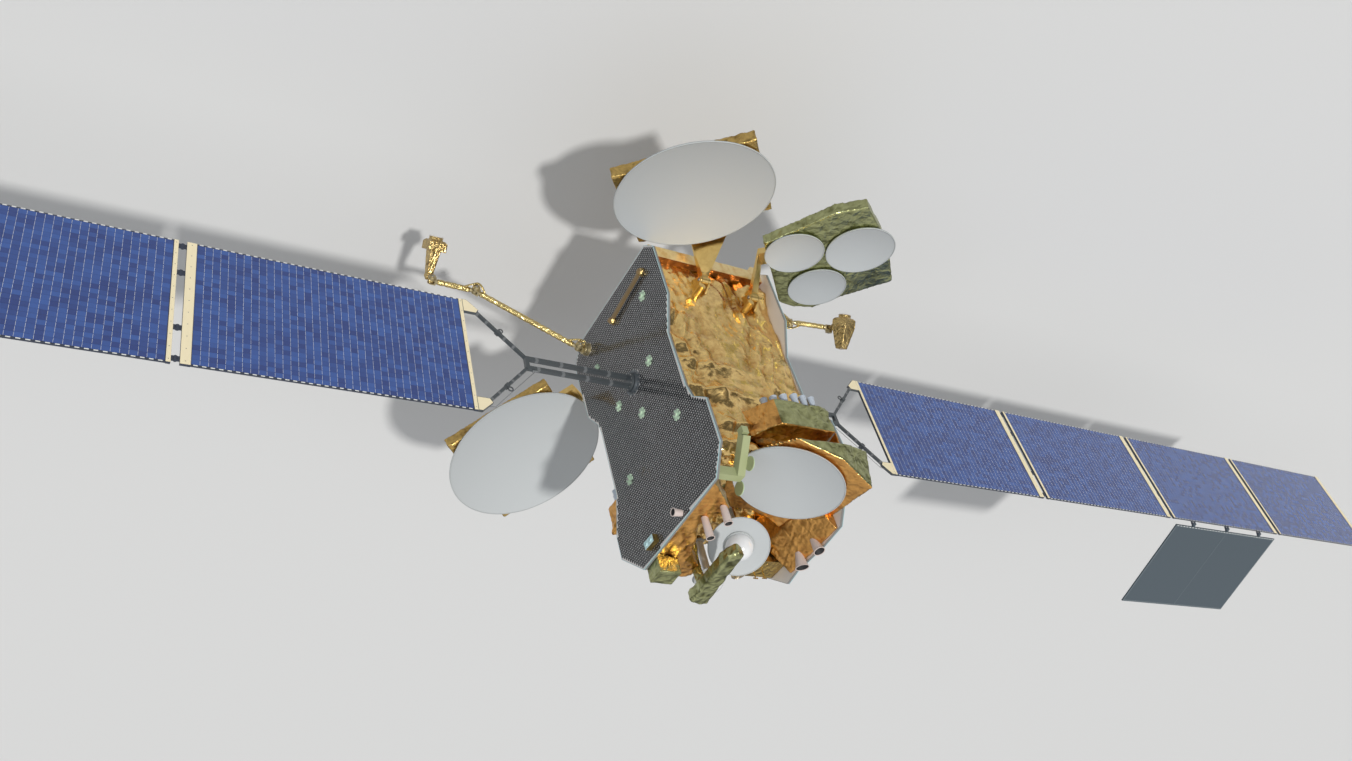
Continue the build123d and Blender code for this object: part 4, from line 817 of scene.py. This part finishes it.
for side, sign in NORTH_SOUTH:
    shoulder, elbow, wrist, axis = (Vector(v) for v in JOINTS[side])
    boom, fore = (elbow - shoulder).normalized(), (wrist - elbow).normalized()
    for node in ("arm_base", "arm_knuckle", "arm_boom", "arm_forearm"):
        painted(f"{node}_{side}", ARM_METAL)
    for title, a, b, way, seed in (("boom", shoulder, elbow, boom, 3), ("forearm", elbow, wrist, fore, 4)):
        sleeve = wrapped(a + way * SLEEVE_START, b - way * SLEEVE_START, SLEEVE_R, seed)
        rides(shaped(f"{title}_sleeve_{side}", [sleeve], True), f"{title}_{side}", "foil_tube", TUBE_FILM)
    for title, at in (("shoulder", shoulder), ("boom", elbow), ("forearm", wrist)):
        pins = [placed(PIN_CAP, spot(at + axis * end * reach, axis * end))
                for end, reach in ((1, FORK_FAR), (-1, FORK_NEAR))]
        body = f"{title}_{side}"
        rides(shaped(f"pin_caps_{body}", pins, True), body, "foil_tube", STEEL)
    bulge = -axis.cross(boom)
    out = axis * LOOP_OUT
    for at, before, after, a, b, root in (
            (shoulder, Vector((0, sign, 0)), boom, f"shoulder_{side}", f"boom_{side}", 0.05),
            (elbow, boom, fore, f"boom_{side}", f"forearm_{side}", 0.17)):
        line = curve([at - before * root + out * LOOP_TUCK,
                      at - before * LOOP_SIDE + out + bulge * LOOP_BULGE / 2,
                      at + out + bulge * LOOP_BULGE,
                      at + after * LOOP_SIDE + out + bulge * LOOP_BULGE / 2,
                      at + after * LOOP_END + out * LOOP_TUCK], 28)
        strands = [tube([p + bulge * STRAND_GAP * j for p in line], STRAND_R, 8, 0.3) for j in (-1, 0, 1)]
        obj = shaped(f"joint_wires_{a}", strands, True)
        obj.data.materials.append(TUBE_FILM)
        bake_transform(obj)
    crumpled(f"thruster_{side}", 0.0075, 0.1, 0.004, HEAD_FILM, 21, "foil_tube")
    angle, tilt = (math.radians(v) for v in HEADS[side])
    out = Vector((math.cos(angle), 0, math.sin(angle)))
    head = out * math.cos(tilt) + Vector((0, sign, 0)) * math.sin(tilt)
    if side == "north":
        way = (out * AIM_OUT + axis * AIM_ACROSS).normalized()
        mouth = wrist + head * NECK + way * STEM + way * BORE_DEPTH
    else:
        way = -axis
        mouth = wrist + head * SOUTH_REACH + way * BORE_DEPTH
    here = spot(mouth, way)
    thruster = (f"thruster_{side}", "foil_tube")
    # Painted shade: a black disc at the bottom of the open mouth.
    rides(shaped(f"thruster_core_{side}", [placed(CORE, here)]), *thruster, CHANNEL_SHADE)
    rides(shaped(f"thruster_rings_{side}", [placed(NOSE, here), placed(MOUTH_RING, here)], True),
          *thruster, CERAMIC)
    scattered(f"thruster_screws_{side}", screw(0.004), ring_of(12, 0.101, mouth + way * 0.062, way),
              STEEL, *thruster)


# Reflectors: pale shells with a rolled lip, each on a tray under creased film, and a hinged arm
# in smooth satin gold film between its bracket and the tray.
def square_plane(origin, normal, azimuth):
    """The place of a reflector: z along its normal, x towards a compass direction."""
    a = math.radians(azimuth)
    return spot(origin, normal, (math.cos(a), math.sin(a), 0))


SHELL = plain("shell_paint", (0.46, 0.49, 0.51), 0.5)
LIP = plain("shell_lip", (0.42, 0.45, 0.46), 0.5)
SATIN = film("satin_film", (0.86, 0.62, 0.24), (0.68, 0.44, 0.14), 6, 0.12, 0.3)
BRACKET_FILM = film("bracket_film", (0.8, 0.58, 0.22), (0.5, 0.32, 0.1), 12, 0.25, 0.34)
TRAY_GOLD = film("tray_film", (0.7, 0.48, 0.16), (0.28, 0.17, 0.05), 7, 0.6, 0.3)
REFLECTORS = (
    ("east_north", (2.45, 0.95, 0.35), (-0.202, -0.04, 0.979), -45.8, ((0, 0, 1.225),), TRAY_GOLD),
    ("east_south", (1.99, -1.21, 0.44), (-0.19, 0.07, 0.98), -45.8,
     ((0, 0, 0.48), (1.046, -0.262, 0.562), (0.245, -1.048, 0.49)), OLIVE),
    ("west", (-2.88, 1.52, 1.31), (0.227, -0.159, 0.961), -135, ((0, 0, 1.35),), TRAY_GOLD),
)
SHELL_LIP = [(-0.012, 0.0015), (0.004, 0.0015), (0.006, -0.004), (0.004, -0.022), (-0.004, -0.022),
             (-0.001, -0.004), (-0.012, -0.002)]
SOUTH_BOOM = (-0.976, 0.092, -0.196)      # the side on which the boom passes the three-dish tray
for name, centre, normal, azimuth, dishes, skin in REFLECTORS:
    painted(f"dish_{name}", SHELL)
    crumpled(f"tray_{name}", 0.022, 0.45, 0.024, skin, 31, lids=(normal, SOUTH_BOOM))
    painted(f"reflector_arm_{name}", SATIN)
    painted(f"hinge_bracket_{name}", BRACKET_FILM)
    here = square_plane(centre, normal, azimuth)
    lips = [placed(ring([(r + dr, z) for dr, z in SHELL_LIP][::-1], 96), here @ Matrix.Translation((x, y, 0)))
            for x, y, r in dishes]
    rides(shaped(f"lips_{name}", lips, True), f"reflector_{name}", "white_reflector", LIP)
HINGES = (("east_north", 1.27, 0.21, 0.76), ("east_south", 1.27, -0.7, 0.9), ("west", -1.27, 0.88, 1.7))
HINGE_CAP = turned([(0, -0.003), (0.03, -0.003), (0.03, 0.005), (0.022, 0.01), (0, 0.01)], 16)
for name, x, y, z in HINGES:
    caps = [placed(HINGE_CAP, spot((x, y + end * 0.096, z), (0, end, 0))) for end in (1, -1)]
    rides(shaped(f"hinge_caps_{name}", caps, True), "root", "ring_metal", STEEL)


# Feed horns: thin grey cones under each feed box and small horns on the rims of the Earth deck,
# each with a rolled lip, a black cup inside as painted shade in its mouth, and the first ones with a
# screwed flange at the foot.
HORN_PAINT = plain("horn_paint", (0.46, 0.52, 0.6), 0.35, 0.1)
HORN_PINK = plain("deck_horn_paint", (0.62, 0.53, 0.5), 0.4)
HORN_MOUTH_SHADE = plain("horn_mouth_shade", (0.012, 0.012, 0.014), 0.65)
HORN_WALL = 0.006


def horn_dress(name, horns, body, slot, lip_mat, flanged):
    """Lips, flanges and painted-shade cups of horns, given by foot, direction, mouth, throat and length."""
    lips, mouth_shades, screws = [], [], []
    for foot, way, mouth, throat, length in horns:
        here = spot(foot, way, (0, 1, 0) if abs(Vector(way).normalized().y) < 0.9 else (1, 0, 0))
        bore = mouth - HORN_WALL
        lips.append(placed(ring([(bore - 0.001, length - 0.004), (mouth + 0.004, length - 0.006),
                                 (mouth + 0.006, length), (mouth + 0.003, length + 0.004),
                                 (bore, length + 0.003)], 28), here))
        if flanged:
            lips.append(placed(ring([(throat - 0.004, 0.0), (throat + 0.014, 0.0), (throat + 0.014, 0.006),
                                     (throat - 0.001, 0.007)], 28), here))
        neck = throat - HORN_WALL
        # Painted shade: a black cup just inside the horn darkens its mouth.
        mouth_shades.append(placed(turned([(0, 0.0065), (neck - 0.0005, 0.0065), (bore - 0.0005, length - 0.003),
                                     (bore - 0.003, length - 0.003), (neck - 0.003, 0.012), (0, 0.012)],
                                    28), here))
        screws += [here @ m for m in ring_of(8, throat + 0.009, (0, 0, 0.006), (0, 0, 1))]
    rides(shaped(f"{name}_lips", lips, True), body, slot, lip_mat)
    rides(shaped(f"{name}_liners", mouth_shades, True), body, slot, HORN_MOUTH_SHADE)
    if flanged:
        scattered(f"{name}_screws", screw(0.0026), screws, STEEL, body, slot)


FEED_HORNS = ((0.11, -0.17), (0.19, -0.29), (0.255, -0.43), (0.3, -0.59), (0.3, -0.75), (0.3, -0.905),
              (0.18, -0.985))
FEED_X, FEED_Z = 1.12, 3.3
DECK_HORNS = (
    ((0.7, 0.715, 4.7), (0, 0, 1), 0.06, 0.048, 0.3), ((0.375, 0.82, 4.68), (0, 0, 1), 0.06, 0.048, 0.35),
    ((0.28, 1.11, 4.59), (0, 1, 0), 0.058, 0.048, 0.14),
    ((0.4, -0.985, 4.88), (0.2, 0, 1), 0.084, 0.044, 0.24),
    ((0.04, -0.975, 4.88), (-0.1, 0, 1), 0.1, 0.05, 0.24),
)
for side, sign in EAST_WEST:
    painted(f"feed_horns_{side}", HORN_PAINT)
    horns = [((sign * (FEED_X + x), sign * y, FEED_Z), (0, 0, -1), 0.056, 0.04, 0.21) for x, y in FEED_HORNS]
    horn_dress(f"feed_horns_{side}", horns, "root", "grey_horn", HORN_PAINT, True)
painted("deck_horns", HORN_PINK)
horn_dress("deck_horns", DECK_HORNS, "root", "grey_horn", HORN_PINK, False)


# Earth deck: the fixed dish in its tray, the spot dish and its radome, the second radome on a post,
# the bracket, the aerials and the patch, with their rims, base rings and screws.
WHITE_GLOSS = plain("radome_paint", (0.78, 0.8, 0.83), 0.18, 0.0, Coat_Weight=0.5)
BRACKET_PAINT = plain("bracket_paint", (0.34, 0.38, 0.2), 0.5)
CYAN_BOX = plain("sensor_paint", (0.5, 0.68, 0.7), 0.45)
painted("earth_dish", SHELL)
painted("deck_disc", SHELL)
painted("deck_domes", WHITE_GLOSS)
painted("deck_bracket", BRACKET_PAINT)
EARTH_DISH = ((1.1, -0.2, 4.515), (-0.152, 0.387, 0.91))
SPOT_DISH = ((-0.14, -0.07, 4.75), (0.45, 0.35, 0.82))
POST_X, POST_Y, RADOME_Z, DECK_Z = -0.985, -0.06, 4.72, 4.1
PATCH_AT, PATCH_RINGS = (-0.72, -0.39, 4.846), (0.1, 0.074, 0.03)
SENSOR_Y, SENSOR_Z, HOOD_X, EYE_X = 1.2, 4.56, -0.5, (-0.44, -0.56)
PLATE_Y, PLATE_T, PLATE_HOLES = 0.66, 0.014, ((1.4, 4.5), (1.05, 4.66))
DECK_LIP = [(-0.01, 0.0015), (0.003, 0.0015), (0.005, -0.004), (0.003, -0.02), (-0.004, -0.02),
            (-0.001, -0.004), (-0.01, -0.002)]
lips, base_rings, screws = [], [], []
for (centre, normal), radius in ((EARTH_DISH, 0.79), (SPOT_DISH, 0.455)):
    profile = [(radius + dr, z) for dr, z in DECK_LIP]
    lips.append(placed(ring(profile, 96), square_plane(centre, normal, 0)))
rides(shaped("deck_lips", lips, True), "root", "white_reflector", LIP)
spot_here = square_plane(*SPOT_DISH, 0) @ Matrix.Translation((0, 0, -0.006))
dome_here = Matrix.Translation((POST_X, POST_Y, RADOME_Z))
for here, radius, low in ((spot_here, 0.205, -0.02), (dome_here, 0.23, 0.0)):
    base_rings.append(placed(ring([(radius - 0.002, low), (radius + 0.022, low),
                                   (radius + 0.022, low + 0.008), (radius + 0.004, low + 0.012),
                                   (radius - 0.002, low + 0.012)], 64), here))
    screws += [here @ m for m in ring_of(24, radius + 0.014, (0, 0, low + 0.008), (0, 0, 1))]
base_rings.append(placed(ring([(0.062, DECK_Z), (0.095, DECK_Z), (0.095, DECK_Z + 0.012),
                               (0.066, DECK_Z + 0.03), (0.06, DECK_Z + 0.03)], 40),
                         Matrix.Translation((POST_X, POST_Y, 0))))
screws += ring_of(8, 0.082, (POST_X, POST_Y, DECK_Z + 0.012), (0, 0, 1))
rides(shaped("radome_rings", base_rings, True), "root", "white_dome", LIP)
scattered("radome_screws", screw(0.004), screws, STEEL, "root", "white_dome")
patch = Matrix.Translation(PATCH_AT)
patch_rings = [placed(ring([(r - 0.006, -0.002), (r, -0.002), (r, 0.005), (r - 0.006, 0.005)], 40), patch)
               for r in PATCH_RINGS]
rides(shaped("patch_rings", patch_rings, True), "root", "gold_foil", MACHINED)
eyepiece = ring([(0.018, 0.002), (0.03, 0.002), (0.034, 0.03), (0.028, 0.03)], 20)
hood = [placed(shape, spot((x, SENSOR_Y, SENSOR_Z), (0, 1, 0)))
        for shape, x in ((plate(0.12, 0.058, -0.002, 0.004), HOOD_X), *((eyepiece, x) for x in EYE_X))]
rides(shaped("sensor_hood", hood), "root", "gold_foil", CYAN_BOX)
rim = ring([(0.092, -0.002), (0.103, -0.002), (0.103, 0.004), (0.092, 0.004)], 40)
rims = [placed(rim, spot((x, PLATE_Y - PLATE_T, z), (0, -1, 0))) for x, z in PLATE_HOLES]
rides(shaped("plate_rims", rims, True), "root", "pale_fitting", CASTING)


# Cradle of the stowed north arm and the reflectors' stow posts: a brown bar whose saddles are
# bagged in creased film, and posts with pale caps, a rim and three screws.
BAR_BROWN = plain("cradle_bar", (0.23, 0.16, 0.08), 0.45, 0.3)
CAP = plain("post_cap", (0.82, 0.56, 0.28), 0.4, 0.3)
painted("arm_cradle_north", BAR_BROWN)
painted("stow_posts", SATIN)
SADDLES, SADDLE_Y = ((0.975, 0.55), (-0.055, 0.645)), 1.108
STOW_POSTS, STOW_X = ((0.33, 0.97), (-0.56, 1.08)), 1.334
saddles = []
for x, z in SADDLES:
    foot = Vector((x, SADDLE_Y, z))
    saddles.append(wrapped(foot, foot + Vector((0, 0.072, 0)), 0.056, int(z * 100)))
rides(shaped("cradle_bags", saddles, True), "root", "gold_foil", HEAD_FILM)
POST_CAP = turned([(0, -0.004), (0.05, -0.004), (0.05, 0.001), (0.04, 0.004), (0.022, 0.004),
                   (0.018, -0.001), (0, -0.001)], 28)
caps, screws = [], []
for y, z in STOW_POSTS:
    here = spot((STOW_X, y, z), (1, 0, 0))
    caps.append(placed(POST_CAP, here))
    screws += [here @ m for m in ring_of(6, 0.036, (0, 0, 0.004), (0, 0, 1))]
rides(shaped("stow_caps", caps, True), "root", "foil_tube", CAP)
scattered("stow_screws", screw(0.003), screws, STEEL, "root", "foil_tube")


# Aerial box beside the south radiator: one dark gold film over the box, its mast and the two
# aerials, without further fittings.
painted("deck_aerials", GOLD_DARK)
